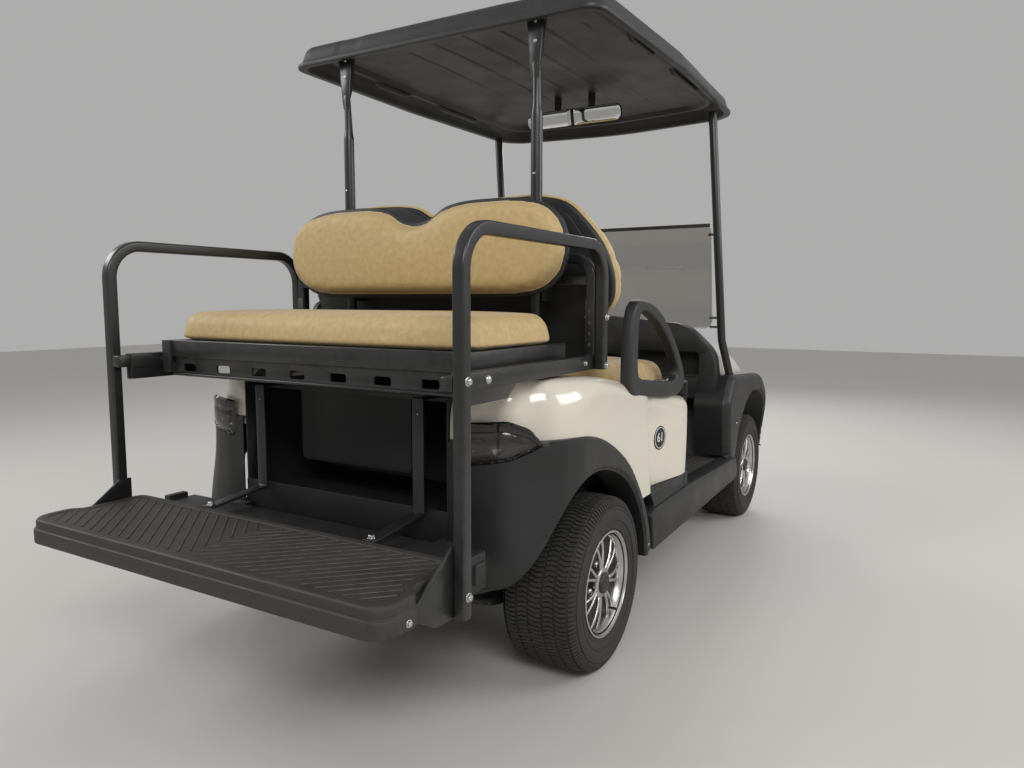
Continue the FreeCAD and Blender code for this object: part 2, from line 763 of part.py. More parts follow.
def rear_seat_tray():
    # Flange with notches, lower beam with square holes, ribbed board, side rails
    front = tray_rear - 62
    flange = box(-tray_half, tray_half, tray_rear - 6, tray_rear, pivot_z + 2, tray_top)
    beam = box(-tray_half, tray_half, front, tray_rear, tray_low, pivot_z + 2)
    core = box(-tray_half + 6, tray_half - 6, front - 1, tray_rear - 5, tray_low + 5, pivot_z + 1)
    board = box(-tray_half, tray_half, tray_front + 36, tray_rear, tray_top - 9, tray_top)
    rails = both(box(tray_half, tray_half + 30, tray_front, tray_rear, tray_top - rail_deep, tray_top))
    lugs = both(box(tray_half, tray_half + 30, pivot_y - 40, tray_rear + 12, tray_low + 8, tray_top))
    ribs = [box(-tray_half, tray_half, y, y + 6, tray_top - 30, tray_top - 9)
            for y in (130, 210, 290, 370)]
    tray = fuse([flange, beam.cut(core), board] + rails + lugs + ribs)
    cuts = []
    for index in range(7):
        x = (index - 3) * tray_half / 3.5
        cuts.append(slab([(x - 24, tray_low + 12, 6), (x + 24, tray_low + 12, 6),
                          (x + 24, pivot_z - 8, 6), (x - 24, pivot_z - 8, 6)], "xz",
                         tray_rear - 10, tray_rear + 2))
        cuts.append(box(x - 20, x + 20, tray_rear - 8, tray_rear + 2, tray_top - 10, tray_top + 2))
    for sign in (1, -1):
        cuts.append(rod((sign * (tray_half - 8), pivot_y, pivot_z),
                        (sign * (tray_half + 40), pivot_y, pivot_z), pivot_radius + shaft_play))
    return tray.cut(Part.makeCompound(cuts))


def deck_plan(inset):
    inner = deck_inner_half - inset
    outer = deck_outer_half - inset
    rear = deck_reach - inset
    notch = deck_back + 0.566 * (deck_reach - deck_back)
    step = deck_back + 0.65 * (deck_reach - deck_back)
    points = [(inner, deck_back + inset, 20), (inner, notch), (outer, step, 30), (outer, rear, 90)]
    left = [(-p[0],) + tuple(p[1:]) for p in reversed(points)]
    return points + left


def footboard():
    deck = slab(deck_plan(0), "xy", deck_low, deck_top)
    under = slab(deck_plan(deck_skin), "xy", deck_low - 5, deck_top - deck_skin)
    bolts = []
    for x in (-deck_bolt_x, deck_bolt_x):
        bolts.append(rod((x, deck_reach - 20, deck_bolt_z), (x, deck_reach + 5, deck_bolt_z), 5))
    board = deck.cut(under).cut(box(-500, 500, deck_back - 5, deck_back + 10, deck_low - 5, 443))
    ribs = [box(x - 3, x + 3, deck_back + 2, deck_reach - 3, deck_top - 20, deck_top - 3)
            for x in (-400, -200, 0, 200, 400)]
    notch = slab([(-80, deck_low - 5), (80, deck_low - 5), (66, deck_low + 8), (-66, deck_low + 8)],
                 "xz", deck_reach - 20, deck_reach + 5)
    return fuse([board] + ribs).cut(Part.makeCompound([notch] + bolts))


def footboard_frame():
    inner = post_x - tube / 2
    beam = box(-inner, inner, post_y - 19, post_y + 13.5, post_foot, post_foot + 44)
    pieces = [beam]
    pieces += both(box(rail_x - 20, rail_x + 20, bumper_end, post_y - 19, post_foot + 4, post_foot + 44))
    pieces += both(box(300, 338, post_y - 19, deck_reach - 16, post_foot + 44, deck_top - 20))
    tip = deck_back + 0.643 * (deck_reach - deck_back)
    near = post_y + tube / 2
    gusset = slab([(near, 498), (near, post_foot), (near + 51, post_foot),
                   (tip, 396, 8), (tip, 412, 8)], "yz", inner - 6, inner)
    foot = box(inner - 6, inner, post_y - 19, near, post_foot, 498)
    pieces += both(gusset) + both(foot)
    return fuse(pieces)


def deck_straps():
    thick = 6.0
    flat = box(strap_x - 16, strap_x + 16, strap_y - thick / 2, strap_y + thick / 2, 462, 738)
    tab = box(strap_x - 16, strap_x + 16, 318.2, strap_y, 732, 738)
    hook = slab([(strap_y - 3, 462), (strap_y - 3, 468), (545, 450), (deck_back, 450),
                 (deck_back, 444), (544, 444)], "yz", strap_x - 16, strap_x + 16)
    return pair(fuse([flat, tab, hook]))


def rear_bumper():
    half = post_x - 65
    middle = box(-half, half, rail_end, bumper_end, post_foot + 4, 425)
    end = box(half, half + 20, rail_end + 20, bumper_end - 6, post_foot, 437)
    step = box(half + 20, half + 28, rail_end + 30, bumper_end - 16, post_foot + 20, 420)
    return fuse([middle] + both(fuse([end, step])))


# Roof, struts and glass
def roof_plan(inset, z):
    half = roof_half - inset
    front = roof_front + inset
    return loop([(-half + 22, roof_rear - inset, 120), (half - 22, roof_rear - inset, 120),
                 (half, -640, 900), (half - 24, front + 75, 120), (0, front, 900),
                 (-half + 24, front + 75, 120), (-half, -640, 900)], "xy", z)


def roof():
    top = loft([roof_plan(0, roof_rim), roof_plan(12, roof_rim + 54),
                roof_plan(52, roof_crown - 8), roof_plan(200, roof_crown)])
    low = loft([roof_plan(roof_skin, roof_rim - 1), roof_plan(12 + roof_skin, roof_rim + 47),
                roof_plan(58, roof_crown - 16), roof_plan(205, roof_crown - 8)])
    ribs = []
    for x in (-300, -150, 0, 150, 300):
        ribs.append(box(x - 4, x + 4, roof_front + 140, roof_rear - 140, roof_crown - 40, roof_crown + 20))
    rim = prism(roof_plan(-20, roof_rim - 4), V(0, 0, 10))
    rim = rim.cut(prism(roof_plan(26, roof_rim - 5), V(0, 0, 12)))
    pads = both(box(rear_strut_x - 30, rear_strut_x + 30, rear_strut_y - 30, rear_strut_y + 40,
                    roof_crown - 55, roof_crown + 20))
    pads += both(box(front_strut_x - 93, front_strut_x - 45, -1215, -1160, front_strut_top,
                     roof_crown + 20))
    return top.cut(low.cut(Part.makeCompound([rim] + ribs + pads)))


def rear_strut():
    tubes = rod((rear_strut_x, rear_strut_y, 800), (rear_strut_x, rear_strut_y, roof_crown - 185),
                strut_radius)
    low = roof_crown - 215
    high = roof_crown - 55
    plate = slab([(rear_strut_x - 12, low), (rear_strut_x + 12, low), (rear_strut_x + 28, high),
                  (rear_strut_x - 28, high)], "xz", rear_strut_y + 2, rear_strut_y + 14)
    return fuse([tubes, plate])


def strut_line(z):
    # Centre of the front strut at a height between the bend and the roof
    share = (front_strut_top - z) / (front_strut_top - 805.0)
    return front_strut_x - 67 + 27 * share, -1186 - 136 * share


def front_strut():
    foot = front_strut_x
    top = (foot - 67, -1186, front_strut_top)
    spots = [top, (foot - 40, -1322, 805), (foot - 5, -1350, 640), (foot, -1378, 548)]
    pieces = []
    for start, end in zip(spots, spots[1:]):
        pieces.append(rod(start, end, strut_radius))
        pieces.append(Part.makeSphere(strut_radius, V(*end)))
    for z in (glass_low + 8, glass_low + 45, glass_high - 30):
        x, y = strut_line(z)
        pieces.append(rod((x, y, z), (glass_half - 6, y - 5.5, z), 5))
    cap = rod((foot - 67, -1186, front_strut_top - 28), top, 12)
    return fuse(pieces + [cap])


def pane(offset, low, high):
    y0 = strut_line(low)[1]
    y1 = strut_line(high)[1]
    outline = [(y0 + offset, low), (y1 + offset, high), (y1 + offset + glass_thick, high),
               (y0 + offset + glass_thick, low)]
    sheet = slab(outline, "yz", -glass_half, glass_half)
    frame = slab([(-glass_half, low, 30), (glass_half, low, 30), (glass_half, high, 12),
                  (-glass_half, high, 12)], "xz", -1500, -1000)
    return sheet.common(frame)


def hinge_strip():
    y = strut_line(glass_high)[1]
    return box(-glass_half + 4, glass_half - 4, y - 22, y - 2, glass_high + 0.2, glass_high + 14)


def mirror():
    y = -950.0
    low = roof_crown - 122
    high = roof_crown - 58
    glass = slab([(-200, low, 24), (200, low, 24), (200, high, 24), (-200, high, 24)], "xz",
                 y - 22, y)
    stems = both(box(60, 84, y - 18, y - 6, high - 7, roof_crown - 5))
    return fuse([glass] + stems)


# Controls
column_foot = (255, -1300, 610)
wheel_centre = (255, -1005, 900)


def steering_column():
    foot = V(*column_foot)
    centre = V(*wheel_centre)
    along = (centre - foot).normalize()
    top = centre - along * 46.3
    tube_piece = Part.makeCylinder(24, (top - foot).Length, foot, along)
    housing = Part.makeCylinder(38, 120, top - along * 150, along)
    return fuse([tube_piece, housing])


def steering_wheel():
    centre = V(*wheel_centre)
    along = (centre - V(*column_foot)).normalize()
    ring = Part.makeTorus(165, 13, V(0, 0, 0), V(0, 0, 1))
    hub = Part.makeCylinder(38, 32, V(0, 0, -38), V(0, 0, 1))
    stub = Part.makeCylinder(14, 12, V(0, 0, -46), V(0, 0, 1))
    spokes = []
    for angle in (90, 210, 330):
        spoke = box(0, 163, -14, 14, -16, -8)
        spoke.rotate(V(0, 0, 0), V(0, 0, 1), angle)
        spokes.append(spoke)
    wheel = fuse([ring, hub, stub] + spokes)
    turn = FreeCAD.Rotation(V(0, 0, 1), along)
    wheel.Placement = FreeCAD.Placement(centre, turn)
    return wheel


def pedals():
    low = floor_top + 65
    pieces = []
    for x, wide, high in ((170, 90, 70), (305, 60, 110)):
        y = toe_board + 60
        pad = slab([(y, low), (y + 8, low), (y + 8 - 0.39 * high, low + high),
                    (y - 0.39 * high, low + high)], "yz", x - wide / 2, x + wide / 2)
        stalk = slab([(y - 4, low + 18), (y - 4, low + 36), (toe_board - 15, low + 52),
                      (toe_board - 10, low + 34)], "yz", x - 8, x + 8)
        pieces.append(fuse([pad, stalk]))
    return Part.makeCompound(pieces)


def windscreen():
    # The upper pane is folded down in front of the lower one, with the hinge strip on top
    lower = pane(-8, glass_low, glass_high)
    upper = pane(-22, glass_low + 6, glass_high)
    return Part.makeCompound([lower, upper, hinge_strip()])


cart = {
    "frame_rails": frame_rails(), "floor_pan": floor_pan(), "rockers": rockers(),
    "rear_axle": rear_axle(), "drive_motor": drive_motor(), "rear_springs": rear_springs(),
    "front_axle": front_axle_beam(), "front_springs": front_springs(),
    "steering_rack": steering_rack(), "bag_well": bag_well(), "seat_base": seat_base(),
    "battery_pack": battery_pack(), "front_cowl": front_cowl(), "headlights": headlights(),
    "front_bumper": front_bumper(), "dash_panel": dash_panel(),
    "front_seat_cushion": front_seat_cushion(), "front_seat_back": front_seat_back(),
    "front_seat_shell": front_seat_shell(), "rear_seat_cushion": rear_seat_cushion(),
    "rear_seat_back": rear_seat_back(), "rear_seat_shell": rear_seat_shell(),
    "seat_back_frame": seat_back_frame(), "rear_seat_frame": rear_seat_frame(),
    "rear_seat_tray": rear_seat_tray(), "footboard": footboard(),
    "footboard_frame": footboard_frame(), "deck_straps": deck_straps(),
    "rear_bumper": rear_bumper(), "roof": roof(), "mirror": mirror(),
    "steering_column": steering_column(), "steering_wheel": steering_wheel(),
    "pedals": pedals(), "windscreen": windscreen(), "knuckle_left": knuckle(),
    "knuckle_right": flip(knuckle()), "body_panels": pair(body_panel()),
    "rear_fenders": pair(fender()), "front_fenders": pair(front_fender()),
    "grab_bars": pair(grab_bar()), "taillights": pair(taillight()),
    "hip_restraints": pair(hip_restraint()), "rear_struts": pair(rear_strut()),
    "front_struts": pair(front_strut())}

# Where two pieces meet, the first is cut to the shape of the others
trimmed = (
    ("body_panels", ("hip_restraints",)),
    ("seat_base", ("body_panels", "rear_fenders", "rockers", "hip_restraints")),
    ("bag_well", ("frame_rails",)),
    ("rear_fenders", ("frame_rails",)),
    ("front_fenders", ("rockers", "front_struts", "front_bumper")),
    ("front_cowl", ("front_bumper",)),
    ("footboard", ("footboard_frame",)),
    ("floor_pan", ("front_fenders", "front_cowl", "front_struts")),
    ("front_cowl", ("front_fenders", "front_struts")),
    ("dash_panel", ("front_fenders", "steering_column")),
    ("pedals", ("floor_pan",)),
    ("rear_springs", ("frame_rails",)),
    ("front_struts", ("roof", "windscreen")),
    ("mirror", ("roof",)),
    ("front_seat_shell", ("rear_struts",)),
    ("taillights", ("rear_fenders",)))
for name, others in trimmed:
    for other in others:
        cart[name] = cart[name].cut(cart[other])

os.makedirs("parts", exist_ok=True)
wheels()
for name, shape in cart.items():
    save(name, shape)
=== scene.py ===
import json
import math

import bmesh
import bpy
from mathutils import Matrix, Vector
from mathutils.bvhtree import BVHTree
from mathutils.geometry import delaunay_2d_cdt
from mathutils.kdtree import KDTree

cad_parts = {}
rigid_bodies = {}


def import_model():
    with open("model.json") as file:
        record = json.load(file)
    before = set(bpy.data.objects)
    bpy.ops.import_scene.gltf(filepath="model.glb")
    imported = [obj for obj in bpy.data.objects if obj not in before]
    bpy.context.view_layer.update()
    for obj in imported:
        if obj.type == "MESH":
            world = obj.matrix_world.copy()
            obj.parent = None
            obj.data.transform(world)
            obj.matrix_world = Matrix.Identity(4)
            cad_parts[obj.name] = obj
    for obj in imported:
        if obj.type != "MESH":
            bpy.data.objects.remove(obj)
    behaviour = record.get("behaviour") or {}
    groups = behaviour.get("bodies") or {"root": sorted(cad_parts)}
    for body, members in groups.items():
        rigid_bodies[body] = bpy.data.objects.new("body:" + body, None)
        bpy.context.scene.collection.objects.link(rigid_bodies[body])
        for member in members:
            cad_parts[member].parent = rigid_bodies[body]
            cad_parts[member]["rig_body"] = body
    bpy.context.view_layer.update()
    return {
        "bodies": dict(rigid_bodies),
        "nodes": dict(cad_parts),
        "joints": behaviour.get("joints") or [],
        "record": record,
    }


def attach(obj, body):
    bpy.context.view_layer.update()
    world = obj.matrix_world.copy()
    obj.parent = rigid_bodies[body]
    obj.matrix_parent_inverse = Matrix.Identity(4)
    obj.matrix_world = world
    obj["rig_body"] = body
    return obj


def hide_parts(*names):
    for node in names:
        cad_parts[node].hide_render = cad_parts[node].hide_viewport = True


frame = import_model()
nodes = frame["nodes"]
rearAxle = 0.619              # where the rear axle lies along Y
frontAxle = -1.045
wheelHeight = 0.229
scene = bpy.context.scene
print("frame loaded:", len(nodes), "nodes")


def spot(x, y, z):
    # Millimetres, with y counted from the rear axle, to a place in metres
    return Vector((x / 1000, rearAxle + y / 1000, z / 1000))


# Outlines and plain meshes
def roundCorners(points, step=6.0, closed=True):
    # (a, b) or (a, b, radius); the result is a list of plain 2D points
    result = []
    count = len(points)
    for index, point in enumerate(points):
        here = Vector(point[:2])
        radius = point[2] if len(point) > 2 else 0
        if not radius or (not closed and index in (0, count - 1)):
            result.append(here)
            continue
        back = Vector(points[index - 1][:2]) - here
        ahead = Vector(points[(index + 1) % count][:2]) - here
        half = back.angle(ahead) / 2
        reach = min(radius / math.tan(half), 0.49 * min(back.length, ahead.length))
        radius = reach * math.tan(half)
        back.normalize()
        ahead.normalize()
        centre = here + (back + ahead).normalized() * (radius / math.sin(half))
        start = here + back * reach - centre
        end = here + ahead * reach - centre
        first = math.atan2(start.y, start.x)
        turn = math.atan2(end.y, end.x) - first
        turn = (turn + math.pi) % (2 * math.pi) - math.pi
        steps = max(2, math.ceil(abs(turn) * radius / step))
        for place in range(steps + 1):
            angle = first + turn * place / steps
            result.append(centre + Vector((math.cos(angle), math.sin(angle))) * radius)
    return result


def smoothRun(points, step=6.0, closed=True):
    # A smooth curve through every given point, as plain 2D points
    spots = [Vector(p[:2]) for p in points]
    count = len(spots)
    result = []
    for index in range(count if closed else count - 1):
        if closed:
            a, b, c, d = [spots[(index + k) % count] for k in (-1, 0, 1, 2)]
        else:
            a, b, c, d = [spots[min(max(index + k, 0), count - 1)] for k in (-1, 0, 1, 2)]
        knots = [0.0]
        for first, second in ((a, b), (b, c), (c, d)):
            knots.append(knots[-1] + max((second - first).length, 1e-3) ** 0.5)
        parts = max(1, round((c - b).length / step))
        for k in range(parts):
            t = knots[1] + (knots[2] - knots[1]) * k / parts
            ab = a.lerp(b, (t - knots[0]) / (knots[1] - knots[0]))
            bc = b.lerp(c, (t - knots[1]) / (knots[2] - knots[1]))
            cd = c.lerp(d, (t - knots[2]) / (knots[3] - knots[2]))
            near = ab.lerp(bc, (t - knots[0]) / (knots[2] - knots[0]))
            far = bc.lerp(cd, (t - knots[1]) / (knots[3] - knots[1]))
            result.append(near.lerp(far, (t - knots[1]) / (knots[2] - knots[1])))
    if not closed:
        result.append(spots[-1])
    return result


def offsetLoop(ring, amount):
    # Moves each point of a closed loop square to the loop; positive goes inwards
    area = sum(a.x * b.y - b.x * a.y for a, b in zip(ring, ring[1:] + ring[:1]))
    turn = 1 if area > 0 else -1
    result = []
    for k, p in enumerate(ring):
        run = ring[(k + 1) % len(ring)] - ring[k - 1]
        if run.length > 1e-9:
            result.append(p + Vector((-run.y, run.x)).normalized() * amount * turn)
    return result


def bendPath(points, bend, step=0.008):
    # Rounds the corners of an open run of points in space, in metres
    path = [points[0].copy()]
    for before, here, after in zip(points, points[1:], points[2:]):
        back = (before - here).normalized()
        ahead = (after - here).normalized()
        half = back.angle(ahead) / 2
        if half > math.radians(89.5):
            path.append(here.copy())
            continue
        reach = min(bend / math.tan(half),
                    0.49 * min((before - here).length, (after - here).length))
        radius = reach * math.tan(half)
        centre = here + (back + ahead).normalized() * (radius / math.sin(half))
        start = here + back * reach - centre
        end = here + ahead * reach - centre
        turn = start.angle(end)
        steps = max(3, math.ceil(turn * radius / step))
        axis = start.cross(end).normalized()
        for place in range(steps + 1):
            path.append(centre + Matrix.Rotation(turn * place / steps, 3, axis) @ start)
    path.append(points[-1].copy())
    return path


def newPiece(name, points, faces, material, smoothAngle=35, merge=1e-5):
    mesh = bpy.data.meshes.new(name)
    mesh.from_pydata([tuple(point) for point in points], [], faces)
    piece = bpy.data.objects.new(name, mesh)
    scene.collection.objects.link(piece)
    mesh.materials.append(material)
    shade(piece, smoothAngle)
    cleanUp(piece, merge)
    return piece


def shade(piece, smoothAngle=35):
    mesh = piece.data
    mesh.polygons.foreach_set("use_smooth", [True] * len(mesh.polygons))
    mesh.set_sharp_from_angle(angle=math.radians(smoothAngle))
    mesh.update()


def cleanUp(piece, distance):
    work = bmesh.new()
    work.from_mesh(piece.data)
    bmesh.ops.remove_doubles(work, verts=work.verts, dist=distance)
    bmesh.ops.dissolve_degenerate(work, edges=work.edges, dist=1e-6)
    bmesh.ops.recalc_face_normals(work, faces=work.faces)
    work.to_mesh(piece.data)
    work.free()


def makePlain(piece, smoothAngle=35):
    # The modifiers' result becomes the mesh
    depsgraph = bpy.context.evaluated_depsgraph_get()
    mesh = bpy.data.meshes.new_from_object(piece.evaluated_get(depsgraph))
    piece.modifiers.clear()
    old = piece.data
    piece.data = mesh
    mesh.name = piece.name
    bpy.data.meshes.remove(old)
    shade(piece, smoothAngle)
    return piece


def softenEdges(piece, width, segments=2, angle=30):
    bevel = piece.modifiers.new("edges", "BEVEL")
    bevel.width = width
    bevel.segments = segments
    bevel.limit_method = "ANGLE"
    bevel.angle_limit = math.radians(angle)
    bevel.use_clamp_overlap = True
    return makePlain(piece)


def giveWall(piece, thickness, smoothAngle=35):
    wall = piece.modifiers.new("wall", "SOLIDIFY")
    wall.thickness = thickness
    wall.offset = -1.0
    wall.use_even_offset = False
    return makePlain(piece, smoothAngle)


def subdivide(piece, smoothAngle=35):
    smooth = piece.modifiers.new("smooth", "SUBSURF")
    smooth.levels = 1
    smooth.render_levels = 1
    return makePlain(piece, smoothAngle)


def gridFaces(rows, columns, closeRows=False, closeColumns=False):
    faces = []
    for row in range(rows if closeRows else rows - 1):
        for column in range(columns if closeColumns else columns - 1):
            below = (row + 1) % rows
            right = (column + 1) % columns
            faces.append((row * columns + column, row * columns + right,
                          below * columns + right, below * columns + column))
    return faces


def gridPiece(name, rows, material, closeRows=False, closeColumns=False, smoothAngle=35):
    points = [point for row in rows for point in row]
    faces = gridFaces(len(rows), len(rows[0]), closeRows, closeColumns)
    return newPiece(name, points, faces, material, smoothAngle)


def slabPiece(name, plane, outline, low, high, material, edge=0.0015):
    # A plate or block from an outline in millimetres, with softened edges
    place = {"yz": lambda a, b, c: spot(c, a, b), "xz": lambda a, b, c: spot(a, c, b),
             "xy": lambda a, b, c: spot(a, b, c)}[plane]
    flat = roundCorners(outline)
    count = len(flat)
    points = [place(p.x, p.y, low) for p in flat] + [place(p.x, p.y, high) for p in flat]
    faces = [tuple(range(count)), tuple(range(count, 2 * count))]
    for index in range(count):
        after = (index + 1) % count
        faces.append((index, after, count + after, count + index))
    piece = newPiece(name, points, faces, material)
    if edge:
        softenEdges(piece, edge, 2, 40)
    return piece


def sweepPiece(name, path, section, side, material, smoothAngle=35):
    # A section drawn as (side, across) follows a path that lies in one plane
    rows = []
    last = len(path) - 1
    side = side.normalized()
    for index, here in enumerate(path):
        along = (path[min(index + 1, last)] - path[max(index - 1, 0)]).normalized()
        across = along.cross(side).normalized()
        rows.append([here + side * p.x + across * p.y for p in section])
    count = len(section)
    points = [point for row in rows for point in row]
    faces = gridFaces(len(rows), count, False, True)
    faces.append(tuple(reversed(range(count))))
    faces.append(tuple(range(last * count, (last + 1) * count)))
    return newPiece(name, points, faces, material, smoothAngle)


def cappedPiece(name, rings, material, smoothAngle=35):
    # Rings of points joined in a row, with a face over each end
    count = len(rings[0])
    last = (len(rings) - 1) * count
    faces = gridFaces(len(rings), count, False, True)
    faces += [tuple(range(count)), tuple(range(last, last + count))]
    return newPiece(name, [point for ring in rings for point in ring], faces, material, smoothAngle)


def rectangle(left, low, right, high, radius, topRadius=None):
    top = radius if topRadius is None else topRadius
    return [(left, low, radius), (right, low, radius), (right, high, top), (left, high, top)]


def boxSection(wide, high, radius, step=1.5):
    # In metres, from millimetre sizes
    outline = rectangle(-wide / 2, -high / 2, wide / 2, high / 2, radius)
    return [p / 1000 for p in roundCorners(outline, step)]


def fullTurn(count):
    return [2 * math.pi * k / count for k in range(count)]


def roundSection(radius, count):
    return [Vector((math.cos(a), math.sin(a))) * radius / 1000 for a in fullTurn(count)]


def latheRows(profile, count):
    # Rings round the X axis from (x, radius) points in millimetres
    return [[Vector((x, r * math.sin(angle), r * math.cos(angle))) / 1000 for x, r in profile]
            for angle in fullTurn(count)]


def lathePiece(name, profile, count, material, closed=False, smoothAngle=35):
    return gridPiece(name, latheRows(profile, count), material, True, closed, smoothAngle)


def joined(name, pieces):
    # Several plain pieces become one mesh
    work = bmesh.new()
    materials = []
    for piece in pieces:
        start = len(work.faces)
        work.from_mesh(piece.data)
        work.faces.ensure_lookup_table()
        slots = [material for material in piece.data.materials]
        for face in work.faces[start:]:
            material = slots[face.material_index] if slots else None
            if material not in materials:
                materials.append(material)
            face.material_index = materials.index(material)
    mesh = bpy.data.meshes.new(name)
    work.to_mesh(mesh)
    work.free()
    for material in materials:
        mesh.materials.append(material)
    for piece in pieces:
        bpy.data.objects.remove(piece)
    result = bpy.data.objects.new(name, mesh)
    scene.collection.objects.link(result)
    return result


def moveMesh(piece, matrix):
    piece.data.transform(matrix)
    if matrix.determinant() < 0:
        piece.data.flip_normals()
    piece.data.update()
    return piece


def copyPiece(piece, name, matrix):
    twin = bpy.data.objects.new(name, piece.data.copy())
    twin.data.name = name
    scene.collection.objects.link(twin)
    return moveMesh(twin, matrix)


mirrorX = Matrix.Scale(-1, 4, (1, 0, 0))


def withMirror(piece):
    # The same mesh on both sides of the cart
    twin = copyPiece(piece, piece.name + "Twin", mirrorX)
    name = piece.name
    piece.name = name + "Half"
    result = joined(name, [piece, twin])
    shade(result)
    return result


def settle(piece, slotName, *replaced, body="cart"):
    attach(piece, body)
    if replaced:
        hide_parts(*replaced)
    return piece


def fall(distance, radius):
    # How far a rounded edge of this radius lies behind the face
    if distance >= radius:
        return 0.0
    gap = radius - max(distance, 0.0)
    return radius - math.sqrt(max(radius * radius - gap * gap, 0.0))


def alongTable(table, value):
    # A smooth value between rows of (place, value), with the rows' own slopes
    last = len(table) - 1
    if value <= table[0][0]:
        return table[0][1]
    for index in range(last):
        a, low = table[index]
        b, high = table[index + 1]
        if value <= b:
            before, after = table[max(index - 1, 0)], table[min(index + 2, last)]
            leave = (high - before[1]) / (b - before[0]) * (b - a)
            arrive = (after[1] - low) / (after[0] - a) * (b - a)
            t = (value - a) / (b - a)
            return (low * (2 * t ** 3 - 3 * t * t + 1) + leave * (t ** 3 - 2 * t * t + t)
                    + high * (3 * t * t - 2 * t ** 3) + arrive * (t ** 3 - t * t))
    return table[last][1]


# Shader groups
def newGroup(name, inputs, outputs):
    group = bpy.data.node_groups.new(name, "ShaderNodeTree")
    for label, kind, value in inputs:
        socket = group.interface.new_socket(name=label, in_out="INPUT", socket_type=kind)
        if value is not None:
            socket.default_value = value
    for label, kind in outputs:
        group.interface.new_socket(name=label, in_out="OUTPUT", socket_type=kind)
    return group, group.nodes.new("NodeGroupInput"), group.nodes.new("NodeGroupOutput")


def addNode(tree, kind, **settings):
    node = tree.nodes.new(kind)
    for key, value in settings.items():
        if key.startswith("in_"):
            node.inputs[key[3:].replace("_", " ")].default_value = value
        else:
            setattr(node, key, value)
    return node


def mathNode(tree, operation, first, second=None, clamp=False):
    node = addNode(tree, "ShaderNodeMath", operation=operation, use_clamp=clamp)
    for index, value in enumerate((first, second)):
        if value is None:
            continue
        if isinstance(value, (int, float)):
            node.inputs[index].default_value = value
        else:
            tree.links.new(value, node.inputs[index])
    return node.outputs[0]


def mixColour(tree, share, first, second):
    node = addNode(tree, "ShaderNodeMix", data_type="RGBA")
    for index, value in ((0, share), (6, first), (7, second)):
        if isinstance(value, (int, float)):
            node.inputs[index].default_value = value
        elif isinstance(value, (tuple, list)):
            node.inputs[index].default_value = (*value[:3], 1)
        else:
            tree.links.new(value, node.inputs[index])
    return node.outputs[2]


def buildGrain():
    # Fine moulded grain: cells with a little noise over them
    group, start, end = newGroup(
        "surfaceGrain",
        [("Vector", "NodeSocketVector", None), ("Scale", "NodeSocketFloat", 900.0),
         ("Roughness", "NodeSocketFloat", 0.5), ("Patch", "NodeSocketFloat", 9.0)],
        [("Height", "NodeSocketFloat"), ("Mottle", "NodeSocketFloat")])
    cells = addNode(group, "ShaderNodeTexVoronoi", feature="SMOOTH_F1")
    fine = addNode(group, "ShaderNodeTexNoise", in_Detail=3.0)
    broad = addNode(group, "ShaderNodeTexNoise", in_Detail=4.0)
    link = group.links.new
    link(start.outputs["Patch"], broad.inputs["Scale"])
    for node in (cells, fine, broad):
        link(start.outputs["Vector"], node.inputs["Vector"])
    link(start.outputs["Scale"], cells.inputs["Scale"])
    link(mathNode(group, "MULTIPLY", start.outputs["Scale"], 1.7), fine.inputs["Scale"])
    link(start.outputs["Roughness"], fine.inputs["Roughness"])
    mixed = mathNode(group, "ADD", mathNode(group, "MULTIPLY", cells.outputs["Distance"], 0.6),
                     mathNode(group, "MULTIPLY", fine.outputs["Fac"], 0.5))
    link(mixed, end.inputs["Height"])
    link(broad.outputs["Fac"], end.inputs["Mottle"])
    return group


def buildWear():
    # Pale rubbed edges, broken up by noise
    group, start, end = newGroup(
        "edgeWear",
        [("Vector", "NodeSocketVector", None), ("Amount", "NodeSocketFloat", 0.4),
         ("Scale", "NodeSocketFloat", 40.0)],
        [("Mask", "NodeSocketFloat")])
    geometry = addNode(group, "ShaderNodeNewGeometry")
    noiseNode = addNode(group, "ShaderNodeTexNoise", in_Detail=5.0, in_Roughness=0.65)
    link = group.links.new
    link(start.outputs["Vector"], noiseNode.inputs["Vector"])
    link(start.outputs["Scale"], noiseNode.inputs["Scale"])
    edge = addNode(group, "ShaderNodeMapRange", in_From_Min=0.53, in_From_Max=0.62)
    link(geometry.outputs["Pointiness"], edge.inputs["Value"])
    broken = addNode(group, "ShaderNodeMapRange", in_From_Min=0.42, in_From_Max=0.62)
    link(noiseNode.outputs["Fac"], broken.inputs["Value"])
    both = mathNode(group, "MULTIPLY", edge.outputs["Result"], broken.outputs["Result"])
    link(mathNode(group, "MULTIPLY", both, start.outputs["Amount"], True), end.inputs["Mask"])
    return group


